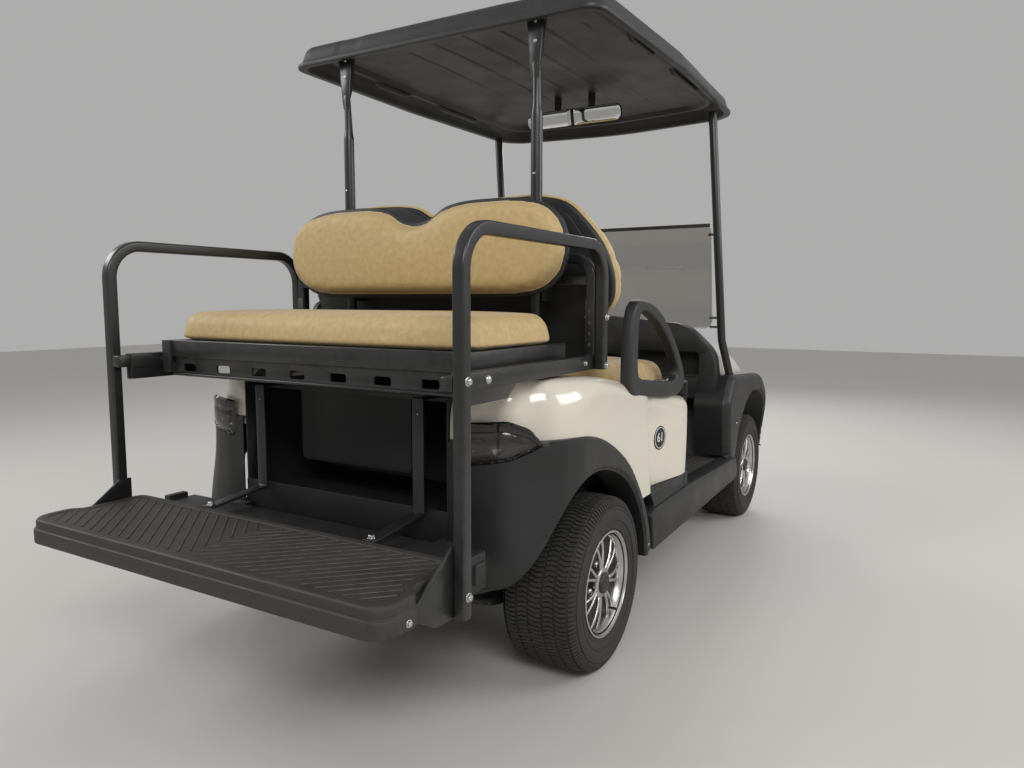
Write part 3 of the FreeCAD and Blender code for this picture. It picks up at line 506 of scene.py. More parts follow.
def buildDust():
    # A thin film on faces that look up, broken up by noise
    group, start, end = newGroup(
        "dustFilm",
        [("Vector", "NodeSocketVector", None), ("Amount", "NodeSocketFloat", 0.2),
         ("Scale", "NodeSocketFloat", 6.0)],
        [("Mask", "NodeSocketFloat")])
    geometry = addNode(group, "ShaderNodeNewGeometry")
    parts = addNode(group, "ShaderNodeSeparateXYZ")
    cloud = addNode(group, "ShaderNodeTexNoise", in_Detail=6.0, in_Roughness=0.7)
    link = group.links.new
    link(geometry.outputs["Normal"], parts.inputs["Vector"])
    link(start.outputs["Vector"], cloud.inputs["Vector"])
    link(start.outputs["Scale"], cloud.inputs["Scale"])
    up = addNode(group, "ShaderNodeMapRange", in_From_Min=-0.2, in_From_Max=1.0,
                 in_To_Min=0.25, in_To_Max=1.0)
    link(parts.outputs["Z"], up.inputs["Value"])
    patchy = addNode(group, "ShaderNodeMapRange", in_From_Min=0.35, in_From_Max=0.75)
    link(cloud.outputs["Fac"], patchy.inputs["Value"])
    both = mathNode(group, "MULTIPLY", up.outputs["Result"], patchy.outputs["Result"])
    link(mathNode(group, "MULTIPLY", both, start.outputs["Amount"], True), end.inputs["Mask"])
    return group


grainGroup = buildGrain()
wearGroup = buildWear()
dustGroup = buildDust()


def useGroup(tree, group, vector, **values):
    node = tree.nodes.new("ShaderNodeGroup")
    node.node_tree = group
    tree.links.new(vector, node.inputs["Vector"])
    for key, value in values.items():
        node.inputs[key].default_value = value
    return node


def finishOf(name, look):
    # One finish from its dictionary: colour, mottle, grain, wear and dust
    material = bpy.data.materials.new(name)
    material.use_nodes = True
    tree = material.node_tree
    shader = tree.nodes["Principled BSDF"]
    link = tree.links.new
    vector = addNode(tree, "ShaderNodeTexCoord").outputs["Object"]
    grain = useGroup(tree, grainGroup, vector, Scale=look.get("grainScale", 900.0),
                     Patch=look.get("mottleScale", 9.0))
    colour = mixColour(tree, grain.outputs["Mottle"], look["colour"],
                       look.get("second", look["colour"]))
    span = look.get("roughSpan", 0.06)
    rough = addNode(tree, "ShaderNodeMapRange", in_To_Min=look["rough"] - span,
                    in_To_Max=look["rough"] + span, in_From_Min=0.3,
                    in_From_Max=0.7).outputs["Result"]
    link(grain.outputs["Mottle"], rough.node.inputs["Value"])
    if look.get("wear"):
        wear = useGroup(tree, wearGroup, vector, Amount=look["wear"],
                        Scale=look.get("wearScale", 40.0))
        colour = mixColour(tree, wear.outputs["Mask"], colour,
                           look.get("wearColour", (0.35, 0.35, 0.35)))
    if look.get("dust"):
        dust = useGroup(tree, dustGroup, vector, Amount=look["dust"],
                        Scale=look.get("dustScale", 6.0))
        colour = mixColour(tree, dust.outputs["Mask"], colour,
                           look.get("dustColour", (0.32, 0.30, 0.27)))
        rough = mathNode(tree, "ADD", rough, mathNode(tree, "MULTIPLY", dust.outputs["Mask"], 0.4),
                         True)
    link(colour, shader.inputs["Base Color"])
    link(rough, shader.inputs["Roughness"])
    if look.get("bump"):
        bump = addNode(tree, "ShaderNodeBump", in_Strength=look.get("bumpStrength", 0.6),
                       in_Distance=look["bump"])
        link(grain.outputs["Height"], bump.inputs["Height"])
        link(bump.outputs["Normal"], shader.inputs["Normal"])
    for label, key, usual in (("Metallic", "metallic", 0.0), ("Coat Weight", "coat", 0.0),
                              ("Coat Roughness", "coatRough", 0.04), ("Sheen Weight", "sheen", 0.0),
                              ("Sheen Roughness", "sheenRough", 0.5), ("IOR", "ior", 1.5),
                              ("Transmission Weight", "transmission", 0.0)):
        shader.inputs[label].default_value = look.get(key, usual)
    return material


paint = finishOf("creamPaint", {
    "colour": (0.72, 0.665, 0.555), "second": (0.68, 0.63, 0.53), "rough": 0.15, "roughSpan": 0.03,
    "coat": 0.6, "grainScale": 500.0, "bump": 0.00004, "bumpStrength": 0.2, "dust": 0.08})
fenderPlastic = finishOf("fenderPlastic", {
    "colour": (0.010, 0.0102, 0.0105), "second": (0.014, 0.0141, 0.0144), "rough": 0.48,
    "grainScale": 1100.0, "bump": 0.0002, "dust": 0.06, "dustColour": (0.10, 0.095, 0.085)})
kitSteel = finishOf("satinSteel", {
    "colour": (0.014, 0.0143, 0.0143), "second": (0.018, 0.0183, 0.0182), "rough": 0.36,
    "metallic": 0.1, "grainScale": 1600.0, "bump": 0.00007, "coat": 0.2, "coatRough": 0.3,
    "wear": 0.2, "wearColour": (0.14, 0.14, 0.135), "dust": 0.03, "dustColour": (0.14, 0.13, 0.12)})
chassisSteel = finishOf("chassisSteel", {
    "colour": (0.012, 0.0122, 0.0125), "second": (0.020, 0.0195, 0.019), "rough": 0.58,
    "grainScale": 900.0, "bump": 0.0002, "dust": 0.30, "dustColour": (0.12, 0.11, 0.095)})
vinyl = finishOf("tanVinyl", {
    "colour": (0.63, 0.465, 0.215), "second": (0.41, 0.285, 0.118), "rough": 0.60,
    "mottleScale": 62.0, "roughSpan": 0.08, "grainScale": 620.0, "bump": 0.00045, "sheen": 0.22,
    "sheenRough": 0.4, "dust": 0.05, "dustColour": (0.5, 0.45, 0.36)})
welting = finishOf("seatWelt", {
    "colour": (0.66, 0.52, 0.28), "second": (0.60, 0.46, 0.23), "rough": 0.5, "grainScale": 900.0,
    "bump": 0.0002})
backing = finishOf("seatBacking", {
    "colour": (0.011, 0.0112, 0.0115), "second": (0.017, 0.0172, 0.0175), "rough": 0.50,
    "grainScale": 1000.0, "bump": 0.00035, "dust": 0.08, "dustColour": (0.12, 0.115, 0.105)})
deckPlastic = finishOf("deckPlastic", {
    "colour": (0.024, 0.0215, 0.019), "second": (0.034, 0.030, 0.0265), "rough": 0.55,
    "grainScale": 1200.0, "bump": 0.00025, "wear": 0.4, "wearColour": (0.11, 0.10, 0.09),
    "dust": 0.22, "dustScale": 3.0, "dustColour": (0.14, 0.125, 0.105)})
roofPlastic = finishOf("canopyPlastic", {
    "colour": (0.020, 0.0205, 0.021), "second": (0.026, 0.0264, 0.027), "rough": 0.45,
    "grainScale": 900.0, "bump": 0.00025, "dust": 0.08, "dustColour": (0.15, 0.145, 0.14)})
tyreRubber = finishOf("tyreRubber", {
    "colour": (0.018, 0.018, 0.0182), "second": (0.030, 0.0285, 0.0265), "rough": 0.74,
    "grainScale": 700.0, "bump": 0.0003, "dust": 0.35, "dustScale": 14.0,
    "dustColour": (0.11, 0.10, 0.085)})
alloy = finishOf("machinedAlloy", {
    "colour": (0.60, 0.59, 0.57), "second": (0.50, 0.49, 0.47), "rough": 0.26, "metallic": 1.0,
    "grainScale": 2200.0, "bump": 0.00004, "dust": 0.12, "dustColour": (0.20, 0.18, 0.15)})
pocketPaint = finishOf("wheelPocket", {
    "colour": (0.04, 0.04, 0.041), "second": (0.060, 0.059, 0.057), "rough": 0.5, "metallic": 0.6,
    "grainScale": 900.0, "bump": 0.0001, "dust": 0.3, "dustColour": (0.14, 0.13, 0.11)})
zinc = finishOf("zincHardware", {
    "colour": (0.66, 0.66, 0.65), "second": (0.52, 0.52, 0.50), "rough": 0.3, "metallic": 1.0,
    "grainScale": 1500.0, "bump": 0.0001})
castMetal = finishOf("castHousing", {
    "colour": (0.07, 0.07, 0.071), "second": (0.11, 0.106, 0.10), "rough": 0.6, "metallic": 0.5,
    "grainScale": 700.0, "bump": 0.0004, "dust": 0.3, "dustColour": (0.16, 0.145, 0.12)})
smokeLens = finishOf("smokedLens", {
    "colour": (0.008, 0.0075, 0.0075), "second": (0.012, 0.011, 0.011), "rough": 0.12,
    "roughSpan": 0.02, "coat": 0.5})
smokeGlass = finishOf("smokedGlass", {
    "colour": (0.30, 0.27, 0.27), "rough": 0.04, "roughSpan": 0.01, "transmission": 0.92,
    "ior": 1.45})
reflector = finishOf("lampReflector", {
    "colour": (0.55, 0.53, 0.53), "second": (0.42, 0.40, 0.40), "rough": 0.16, "metallic": 0.9,
    "grainScale": 180.0, "bump": 0.0015})
brightCup = finishOf("lampBowl", {
    "colour": (0.80, 0.80, 0.80), "second": (0.70, 0.70, 0.70), "rough": 0.12, "metallic": 1.0,
    "grainScale": 120.0, "bump": 0.001})
clearLens = finishOf("clearLens", {
    "colour": (0.80, 0.82, 0.85), "rough": 0.05, "roughSpan": 0.02, "transmission": 0.85,
    "ior": 1.45})
tintSheet = finishOf("tintedSheet", {
    "colour": (0.70, 0.685, 0.67), "rough": 0.02, "roughSpan": 0.005, "transmission": 1.0,
    "ior": 1.45})
mirrorFace = finishOf("mirrorFace", {
    "colour": (0.86, 0.87, 0.88), "rough": 0.03, "roughSpan": 0.01, "metallic": 1.0})
markWhite = finishOf("badgeWhite", {"colour": (0.72, 0.71, 0.68), "rough": 0.3, "roughSpan": 0.02})
# matte black of the battery case; the same finish is the painted shade in the seat kit plate's
# holes
caseBlackAndHoleShade = finishOf("batteryCase", {
    "colour": (0.030, 0.030, 0.032), "second": (0.045, 0.045, 0.047), "rough": 0.55,
    "grainScale": 900.0, "bump": 0.0002, "dust": 0.3, "dustColour": (0.14, 0.13, 0.11)})
print("finishes made:", len(bpy.data.materials))


# Geometry Nodes trees
def geometryTree(name, inputs):
    tree = bpy.data.node_groups.new(name, "GeometryNodeTree")
    tree.is_modifier = True
    tree.interface.new_socket(name="Geometry", in_out="INPUT", socket_type="NodeSocketGeometry")
    for label, kind, value in inputs:
        socket = tree.interface.new_socket(name=label, in_out="INPUT", socket_type=kind)
        if value is not None:
            socket.default_value = value
    tree.interface.new_socket(name="Geometry", in_out="OUTPUT", socket_type="NodeSocketGeometry")
    return tree, tree.nodes.new("NodeGroupInput"), tree.nodes.new("NodeGroupOutput")


def closeTree(tree, geometry, start, end):
    realize = tree.nodes.new("GeometryNodeRealizeInstances")
    finish = tree.nodes.new("GeometryNodeSetMaterial")
    tree.links.new(geometry, realize.inputs[0])
    tree.links.new(realize.outputs[0], finish.inputs["Geometry"])
    tree.links.new(start.outputs["Material"], finish.inputs["Material"])
    tree.links.new(finish.outputs[0], end.inputs[0])


def buildRingTree():
    # Copies of one item, turned evenly round the X axis
    tree, start, end = geometryTree("evenRing", [
        ("Item", "NodeSocketObject", None), ("Count", "NodeSocketInt", 7),
        ("Start Angle", "NodeSocketFloat", 0.0), ("Material", "NodeSocketMaterial", None)])
    link = tree.links.new
    points = tree.nodes.new("GeometryNodePoints")
    info = tree.nodes.new("GeometryNodeObjectInfo")
    place = tree.nodes.new("GeometryNodeInstanceOnPoints")
    index = tree.nodes.new("GeometryNodeInputIndex")
    turn = tree.nodes.new("ShaderNodeCombineXYZ")
    share = mathNode(tree, "DIVIDE", 2 * math.pi, start.outputs["Count"])
    angle = mathNode(tree, "ADD", mathNode(tree, "MULTIPLY", share, index.outputs[0]),
                     start.outputs["Start Angle"])
    link(start.outputs["Count"], points.inputs["Count"])
    link(start.outputs["Item"], info.inputs["Object"])
    link(angle, turn.inputs["X"])
    link(points.outputs[0], place.inputs["Points"])
    link(info.outputs["Geometry"], place.inputs["Instance"])
    link(turn.outputs[0], place.inputs["Rotation"])
    closeTree(tree, place.outputs[0], start, end)
    return tree


def buildHardwareTree():
    # One item on each point, facing the point's own way and as large as its own size
    tree, start, end = geometryTree("hardwareSet", [
        ("Item", "NodeSocketObject", None), ("Scale", "NodeSocketFloat", 1.0),
        ("Material", "NodeSocketMaterial", None)])
    link = tree.links.new
    info = tree.nodes.new("GeometryNodeObjectInfo")
    place = tree.nodes.new("GeometryNodeInstanceOnPoints")
    facing = addNode(tree, "GeometryNodeInputNamedAttribute", data_type="FLOAT_VECTOR")
    facing.inputs["Name"].default_value = "facing"
    size = addNode(tree, "GeometryNodeInputNamedAttribute", data_type="FLOAT")
    size.inputs["Name"].default_value = "size"
    align = addNode(tree, "FunctionNodeAlignRotationToVector", axis="Z")
    link(start.outputs["Geometry"], place.inputs["Points"])
    link(start.outputs["Item"], info.inputs["Object"])
    link(info.outputs["Geometry"], place.inputs["Instance"])
    link(facing.outputs["Attribute"], align.inputs["Vector"])
    link(align.outputs["Rotation"], place.inputs["Rotation"])
    link(mathNode(tree, "MULTIPLY", size.outputs["Attribute"], start.outputs["Scale"]),
         place.inputs["Scale"])
    closeTree(tree, place.outputs[0], start, end)
    return tree


def buildStripTree():
    # A rounded strip along each edge of the base mesh
    tree, start, end = geometryTree("ribStrips", [
        ("Width", "NodeSocketFloat", 0.004), ("Height", "NodeSocketFloat", 0.0015),
        ("Material", "NodeSocketMaterial", None)])
    link = tree.links.new
    curve = tree.nodes.new("GeometryNodeMeshToCurve")
    section = addNode(tree, "GeometryNodeCurvePrimitiveCircle", mode="RADIUS")
    section.inputs["Resolution"].default_value = 8
    section.inputs["Radius"].default_value = 1.0
    scale = tree.nodes.new("GeometryNodeTransform")
    size = tree.nodes.new("ShaderNodeCombineXYZ")
    sweep = tree.nodes.new("GeometryNodeCurveToMesh")
    sweep.inputs["Fill Caps"].default_value = True
    link(start.outputs["Geometry"], curve.inputs["Mesh"])
    link(mathNode(tree, "MULTIPLY", start.outputs["Width"], 0.5), size.inputs["X"])
    link(start.outputs["Height"], size.inputs["Y"])
    size.inputs["Z"].default_value = 1.0
    link(section.outputs["Curve"], scale.inputs["Geometry"])
    link(size.outputs[0], scale.inputs["Scale"])
    link(curve.outputs[0], sweep.inputs["Curve"])
    link(scale.outputs[0], sweep.inputs["Profile Curve"])
    closeTree(tree, sweep.outputs[0], start, end)
    return tree


ringTree = buildRingTree()
hardwareTree = buildHardwareTree()
stripTree = buildStripTree()


def growNodes(name, base, tree, values, smoothAngle=35):
    # Runs a tree on a base mesh and keeps the plain result
    piece = bpy.data.objects.new(name, base)
    scene.collection.objects.link(piece)
    modifier = piece.modifiers.new("nodes", "NODES")
    modifier.node_group = tree
    for item in tree.interface.items_tree:
        if item.in_out == "INPUT" and item.name in values:
            modifier[item.identifier] = values[item.name]
    return makePlain(piece, smoothAngle)


def pointMesh(name, rows):
    # rows of (place, facing, size)
    mesh = bpy.data.meshes.new(name)
    mesh.from_pydata([tuple(row[0]) for row in rows], [], [])
    mesh.attributes.new("facing", "FLOAT_VECTOR", "POINT")
    mesh.attributes.new("size", "FLOAT", "POINT")
    mesh.attributes["facing"].data.foreach_set("vector",
                                               [value for row in rows for value in row[1]])
    mesh.attributes["size"].data.foreach_set("value", [row[2] for row in rows])
    return mesh


def edgeMesh(name, runs):
    points = []
    edges = []
    for run in runs:
        start = len(points)
        points += [tuple(p) for p in run]
        edges += [(start + k, start + k + 1) for k in range(len(run) - 1)]
    mesh = bpy.data.meshes.new(name)
    mesh.from_pydata(points, edges, [])
    return mesh


# Camera, light and floor
cameraView = {"place": (-1.3224, 2.3852, 0.9588), "yaw": 0.5294, "pitch": -0.1084,
              "roll": math.radians(0.17), "lens": 26.53}


def addCamera(view):
    camera = bpy.data.objects.new("photoCamera", bpy.data.cameras.new("photoCamera"))
    scene.collection.objects.link(camera)
    camera.data.sensor_width = 36.0
    camera.data.lens = view["lens"]
    camera.data.clip_start = 0.05
    camera.location = view["place"]
    yaw, pitch = view["yaw"], view["pitch"]
    ahead = Vector((math.sin(yaw) * math.cos(pitch), -math.cos(yaw) * math.cos(pitch),
                    math.sin(pitch)))
    turn = ahead.to_track_quat("-Z", "Y")
    camera.rotation_mode = "QUATERNION"
    camera.rotation_quaternion = turn @ Matrix.Rotation(view["roll"], 3, "Z").to_quaternion()
    scene.camera = camera


lampRows = [("keyLamp", (-3.2, 4.2, 3.6), (-0.1, 0.3, 0.7), 2.6, 118),
            ("fillLamp", (-4.2, -1.2, 2.6), (0, 0, 0.7), 3.0, 70),
            ("farLamp", (3.8, 2.2, 3.2), (0, 0.2, 0.8), 2.6, 70),
            ("noseLamp", (1.2, -4.6, 3.0), (0, -0.6, 0.6), 2.6, 70)]


stageLook = {"floor": (0.62, 0.60, 0.57, 1), "floorRough": 0.55, "floorHalf": 14,
             "sky": (0.80, 0.80, 0.795, 1), "skyStrength": 0.52, "lampShape": 0.45}


def addStage():
    floorMaterial = bpy.data.materials.new("paleFloor")
    floorMaterial.use_nodes = True
    tree = floorMaterial.node_tree
    shader = tree.nodes["Principled BSDF"]
    shader.inputs["Base Color"].default_value = stageLook["floor"]
    shader.inputs["Roughness"].default_value = stageLook["floorRough"]
    mesh = bpy.data.meshes.new("floor")
    size = stageLook["floorHalf"]
    mesh.from_pydata([(-size, -size, 0), (size, -size, 0), (size, size, 0), (-size, size, 0)], [],
                     [(0, 1, 2, 3)])
    floor = bpy.data.objects.new("floor", mesh)
    floor.data.materials.append(floorMaterial)
    scene.collection.objects.link(floor)
    world = bpy.data.worlds.new("studio")
    scene.world = world
    world.use_nodes = True
    sky = world.node_tree.nodes["Background"]
    sky.inputs["Color"].default_value = stageLook["sky"]
    sky.inputs["Strength"].default_value = stageLook["skyStrength"]
    for name, place, target, size, power in lampRows:
        lamp = bpy.data.lights.new(name, "AREA")
        lamp.shape = "RECTANGLE"
        lamp.size = size
        lamp.size_y = size * stageLook["lampShape"]
        lamp.energy = power
        holder = bpy.data.objects.new(name, lamp)
        holder.location = place
        holder.rotation_euler = (Vector(target) - Vector(place)).to_track_quat("-Z", "Y").to_euler()
        scene.collection.objects.link(holder)
    scene.view_settings.view_transform = "Standard"


addCamera(cameraView)
addStage()
print("camera, lamps and floor placed")


# CAD nodes that keep their shape, with their sharp edges softened
def softened(node, width, material, slotName, smoothAngle=35, segments=2):
    mesh = nodes[node].data.copy()
    piece = bpy.data.objects.new(node + "Finish", mesh)
    scene.collection.objects.link(piece)
    work = bmesh.new()
    work.from_mesh(mesh)
    bmesh.ops.remove_doubles(work, verts=work.verts, dist=2e-5)
    bmesh.ops.dissolve_degenerate(work, edges=work.edges, dist=1e-5)
    bmesh.ops.dissolve_limit(work, angle_limit=math.radians(1.0), verts=work.verts,
                             edges=work.edges)
    work.to_mesh(mesh)
    work.free()
    mesh.materials.clear()
    mesh.materials.append(material)
    softenEdges(piece, width, segments)
    shade(piece, smoothAngle)
    return settle(piece, slotName, node, body=nodes[node]["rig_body"])


plainNodes = {
    "frame_rails": (0.0030, chassisSteel, "frame_steel"),
    "front_axle": (0.0012, chassisSteel, "frame_steel"),
    "front_springs": (0.0010, chassisSteel, "frame_steel"),
    "rear_springs": (0.0008, chassisSteel, "frame_steel"),
    "rear_axle": (0.0020, castMetal, "bare_metal"),
    "drive_motor": (0.0040, castMetal, "motor_metal"),
    "battery_pack": (0.0040, caseBlackAndHoleShade, "battery_case"),
    "knuckle_left": (0.0010, castMetal, "bare_metal"),
    "knuckle_right": (0.0010, castMetal, "bare_metal"),
    "steering_rack": (0.0008, castMetal, "bare_metal"),
    "footboard_frame": (0.0020, kitSteel, "kit_steel"),
    "deck_straps": (0.0010, kitSteel, "kit_steel"),
    "rear_seat_frame": (0.0030, kitSteel, "kit_steel"),
    "rear_seat_tray": (0.0012, kitSteel, "kit_steel"),
    "rear_bumper": (0.0040, backing, "black_plastic"),
    "bag_well": (0.0020, backing, "black_plastic"),
    "seat_base": (0.0030, backing, "black_plastic"),
    "floor_pan": (0.0020, tyreRubber, "floor_rubber"),
    "rockers": (0.0060, fenderPlastic, "black_plastic"),
    "front_bumper": (0.0040, fenderPlastic, "black_plastic"),
    "dash_panel": (0.0060, fenderPlastic, "black_plastic"),
    "steering_column": (0.0020, backing, "black_plastic"),
    "pedals": (0.0015, tyreRubber, "frame_steel"),
    "front_struts": (0.0010, kitSteel, "kit_steel"),
    "steering_wheel": (0.0010, backing, "black_plastic")}
for node, (width, material, slotName) in plainNodes.items():
    softened(node, width, material, slotName)
print("softened", len(plainNodes), "nodes")


# Tyres and rims
tyreSizes = {"radius": 229.0, "pitches": 58, "ribEdges": (-84, -51, -19, 19, 51, 84), "zigzag": 5.0,
             "groove": 4.5, "slit": 0.075, "lean": 0.42, "blockFoot": 222.0, "around": 96}
carcassProfile = [(-90, 127), (-90, 137), (-93, 143), (-98, 158), (-102, 176), (-101, 190),
                  (-97, 203), (-91, 213), (-84, 219), (-70, 222), (-40, 223.3), (0, 223.6),
                  (40, 223.3), (70, 222), (84, 219), (91, 213), (97, 203), (101, 190), (102, 176),
                  (98, 158), (93, 143), (90, 137), (90, 127)]


def crownRadius(x):
    # The tread face is nearly flat and drops at the shoulders
    return tyreSizes["radius"] - 0.00034 * x * x * (1 + (x / 95) ** 6 * 0.45)


def blockPrism(work, corners):
    # A tread block from flat (x, t) corners, t in degrees round the tyre
    top = []
    low = []
    for x, t in corners:
        angle = math.radians(t)
        for ring, radius in ((top, crownRadius(x)), (low, tyreSizes["blockFoot"])):
            ring.append(work.verts.new((x / 1000, radius * math.sin(angle) / 1000,
                                        radius * math.cos(angle) / 1000)))
    count = len(corners)
    work.faces.new(top)
    for index in range(count):
        after = (index + 1) % count
        work.faces.new((top[index], low[index], low[after], top[after]))


def treadPitch():
    work = bmesh.new()
    step = 360.0 / tyreSizes["pitches"]
    edges = tyreSizes["ribEdges"]
    half = tyreSizes["groove"] / 2
    slit = step * tyreSizes["slit"]
    for rib in range(len(edges) - 1):
        low, high = edges[rib] + half, edges[rib + 1] - half
        lean = step * tyreSizes["lean"] * (1 if rib % 2 == 0 else -1)
        zig = tyreSizes["zigzag"] * (0.35 if rib in (0, 4) else 1.0)
        lowZig = zig if rib > 0 else 2.0
        highZig = zig if rib < 4 else 2.0
        for start, end in ((0.0, 0.5), (0.5, 1.0)):
            a0, a1 = step * start + slit, step * end - slit
            push = 1 if start == 0 else -1
            corners = [(low + lowZig * push * 0.5, a0), (low - lowZig * push * 0.5, a1),
                       ((low + high) / 2, a1 + lean * 0.5),
                       (high - highZig * push * 0.5, a1 + lean * 0.25),
                       (high + highZig * push * 0.5, a0 + lean * 0.25),
                       ((low + high) / 2, a0 + lean * 0.5)]
            blockPrism(work, corners)
    for side in (-1, 1):
        # shoulder lugs that turn down the wall
        for start in (0.12, 0.62):
            a0, a1 = step * start, step * (start + 0.3)
            ring = []
            for x, radius in ((88, 224.0), (95.5, 214.0), (99.5, 204.0), (97.0, 201.0),
                              (88, 217.0)):
                for angle in (a0, a1):
                    t = math.radians(angle)
                    ring.append(work.verts.new((side * x / 1000, radius * math.sin(t) / 1000,
                                                radius * math.cos(t) / 1000)))
            for k in range(4):
                work.faces.new((ring[2 * k], ring[2 * k + 1], ring[2 * k + 3], ring[2 * k + 2]))
            work.faces.new(ring[0::2])
            work.faces.new(ring[1::2])
            work.faces.new((ring[8], ring[9], ring[1], ring[0]))
    bmesh.ops.recalc_face_normals(work, faces=work.faces)
    mesh = bpy.data.meshes.new("treadPitch")
    work.to_mesh(mesh)
    work.free()
    item = bpy.data.objects.new("treadPitch", mesh)
    scene.collection.objects.link(item)
    return item


def makeTyre():
    profile = [(-84, 127)] + carcassProfile + [(84, 127)]
    carcass = lathePiece("carcass", profile, tyreSizes["around"], tyreRubber, True)
    rings = []
    for x in (-1, 1):
        for middle, radius, thick in ((94.0, 147.5, 1.5), (100.3, 168.0, 1.0), (99.5, 196.0, 1.3)):
            section = [(x * middle + math.cos(a) * 2.2, radius + math.sin(a) * thick * 2.2)
                       for a in fullTurn(8)]
            rings.append(lathePiece("wallRing", section, tyreSizes["around"], tyreRubber, True))
    item = treadPitch()
    tread = growNodes("treadBlocks", bpy.data.meshes.new("treadBase"), ringTree,
                      {"Item": item, "Count": tyreSizes["pitches"], "Material": tyreRubber})
    bpy.data.objects.remove(item)
    softenEdges(tread, 0.0007, 1, 40)
    valve = lathePiece("valveStem", [(0, 0.1), (0, 3), (22, 3), (24, 4), (32, 4), (33, 0.1)], 12,
                       fenderPlastic)
    moveMesh(valve, Matrix.Translation((0.064, 0, 0.108)))
    tyre = joined("tyreMaster", [carcass, tread, valve] + rings)
    shade(tyre, 35)
    return tyre


rimSizes = {"spokes": 7, "faceX": 81.0, "spokeStart": 33.0, "spokeLength": 88.0, "bow": 5.0,
            "nuts": 4, "nutRadius": 0.0508}


def spokeItem():
    # One spoke that forks into two bowed fingers, lying along +Z
    parts = []
    for side in (-1, 1):
        rows = []
        for share, offset, wide, high in (
                (0.0, 4.0, 12.0, 9.0), (0.12, 4.6, 11.0, 9.5), (0.3, 6.6, 9.5, 10.0),
                (0.5, 10.5, 8.6, 10.0), (0.7, 15.0, 8.2, 9.0), (0.86, 18.4, 8.6, 8.0),
                (1.0, 20.6, 11.0, 7.0)):
            radius = rimSizes["spokeStart"] + share * rimSizes["spokeLength"]
            bow = rimSizes["bow"] * math.sin(math.pi * share) - rimSizes["bow"] * share
            face = rimSizes["faceX"] + bow
            centre = side * offset
            ring = []
            for a, b in ((-0.5, 0.0), (-0.5, 0.65), (-0.3, 1.0), (0.3, 1.0), (0.5, 0.65),
                         (0.5, 0.0)):
                ring.append(Vector((face - high + high * b, centre + wide * a, radius)) / 1000)
            rows.append(ring)
        parts.append(cappedPiece("finger", rows, alloy))
    return subdivide(joined("spokeItem", parts), 50)


def makeRim():
    lip = [(96, 134), (96, 137), (95, 138.5), (91, 138.5), (90, 137), (90, 127.2), (-90, 127.2),
           (-90, 137), (-91, 138.5), (-95, 138.5), (-96, 137), (-96, 124), (-88, 120), (40, 118),
           (66, 117), (74, 119), (80, 122), (86, 126), (91, 131)]
    barrel = lathePiece("barrel", lip, tyreSizes["around"], alloy, True)
    item = spokeItem()
    spokes = growNodes("spokes", bpy.data.meshes.new("spokeBase"), ringTree,
                       {"Item": item, "Count": rimSizes["spokes"], "Material": alloy}, 50)
    bpy.data.objects.remove(item)
    dishProfile = [(58, 0.1), (58, 34), (62, 60), (64, 100), (66, 118.5), (60, 118.5), (58, 100),
                   (55, 60), (50, 34), (50, 0.1)]
    hubProfile = [(20, 0.1), (20, 36), (70, 38), (76, 40), (80, 39), (82.5, 36), (83, 31), (81, 30),
                  (81, 0.1)]
    capProfile = [(78, 27), (86, 27), (88.5, 25), (89.5, 21), (90.2, 18), (90.2, 17), (89.4, 16),
                  (89.6, 8), (89.7, 0.1)]
    dish = lathePiece("pocketDish", dishProfile, 64, pocketPaint)
    hub = lathePiece("hubDisc", hubProfile, 48, alloy)
    cap = lathePiece("centreCap", capProfile, 40, pocketPaint)
    nut = lathePiece("nutItem", [(52, 9.5), (66, 9.5), (70, 8), (72, 5), (72.4, 0.1)], 6, zinc)
    moveMesh(nut, Matrix.Translation((0, 0, rimSizes["nutRadius"])))
    nuts = growNodes("lugNuts", bpy.data.meshes.new("nutBase"), ringTree,
                     {"Item": nut, "Count": rimSizes["nuts"], "Start Angle": 0.4, "Material": zinc},
                     30)
    bpy.data.objects.remove(nut)
    hubPiece = joined("rimMaster", [barrel, spokes, dish, hub, cap, nuts])
    shade(hubPiece, 40)
    return hubPiece


def placeWheels():
    tyre = makeTyre()
    rim = makeRim()
    rows = [("rear", 0.485, rearAxle), ("front", 0.454, frontAxle)]
    turn = 0.35
    for end, track, along in rows:
        for side, sign in (("left", 1), ("right", -1)):
            turn += 1.1
            body = "wheel_%s_%s" % (end, side)
            place = Matrix.Translation((sign * track, along, wheelHeight))
            place = place @ Matrix.Scale(sign, 4, (1, 0, 0)) @ Matrix.Rotation(turn, 4, "X")
            for master, name, slotName, node in ((tyre, "treadTyre", "tyre_rubber", "tyre"),
                                                 (rim, "castRim", "alloy", "rim")):
                copy = copyPiece(master, "%s_%s_%s" % (name, end, side), place)
                settle(copy, slotName, "%s_%s_%s" % (node, end, side), body=body)
    bpy.data.objects.remove(tyre)
    bpy.data.objects.remove(rim)


placeWheels()
print("tyres and rims placed")


# Body panels and rear fenders
bodySizes = {"half": 585.0, "rear": 372.0, "corner": 130.0, "front": -640.0, "bottom": 402.0,
             "sideStep": 12.0, "rearStep": 6.0, "shoulder": 44.0, "wellHalf": 338.0,
             "seatHalf": 541.0, "wellFront": -66.0, "recess": 34.0, "tuck": 4.0, "drawIn": 24.0,
             "cut": 34.0}
topLine = [(-640, 657), (-603, 662), (-420, 692), (-184, 736), (0, 768), (120, 779), (372, 782)]
flareTop = [(-300, 229), (-268, 345), (-190, 445), (-100, 540), (25, 612), (130, 641), (300, 646),
            (420, 646)]
bendStart = bodySizes["rear"] - bodySizes["corner"]
bendEnd = bendStart + bodySizes["corner"] * math.pi / 2
wellSeam = bendEnd + bodySizes["half"] - bodySizes["corner"] - bodySizes["wellHalf"]


def smoothShare(value):
    value = min(max(value, 0.0), 1.0)
    return value * value * (3 - 2 * value)


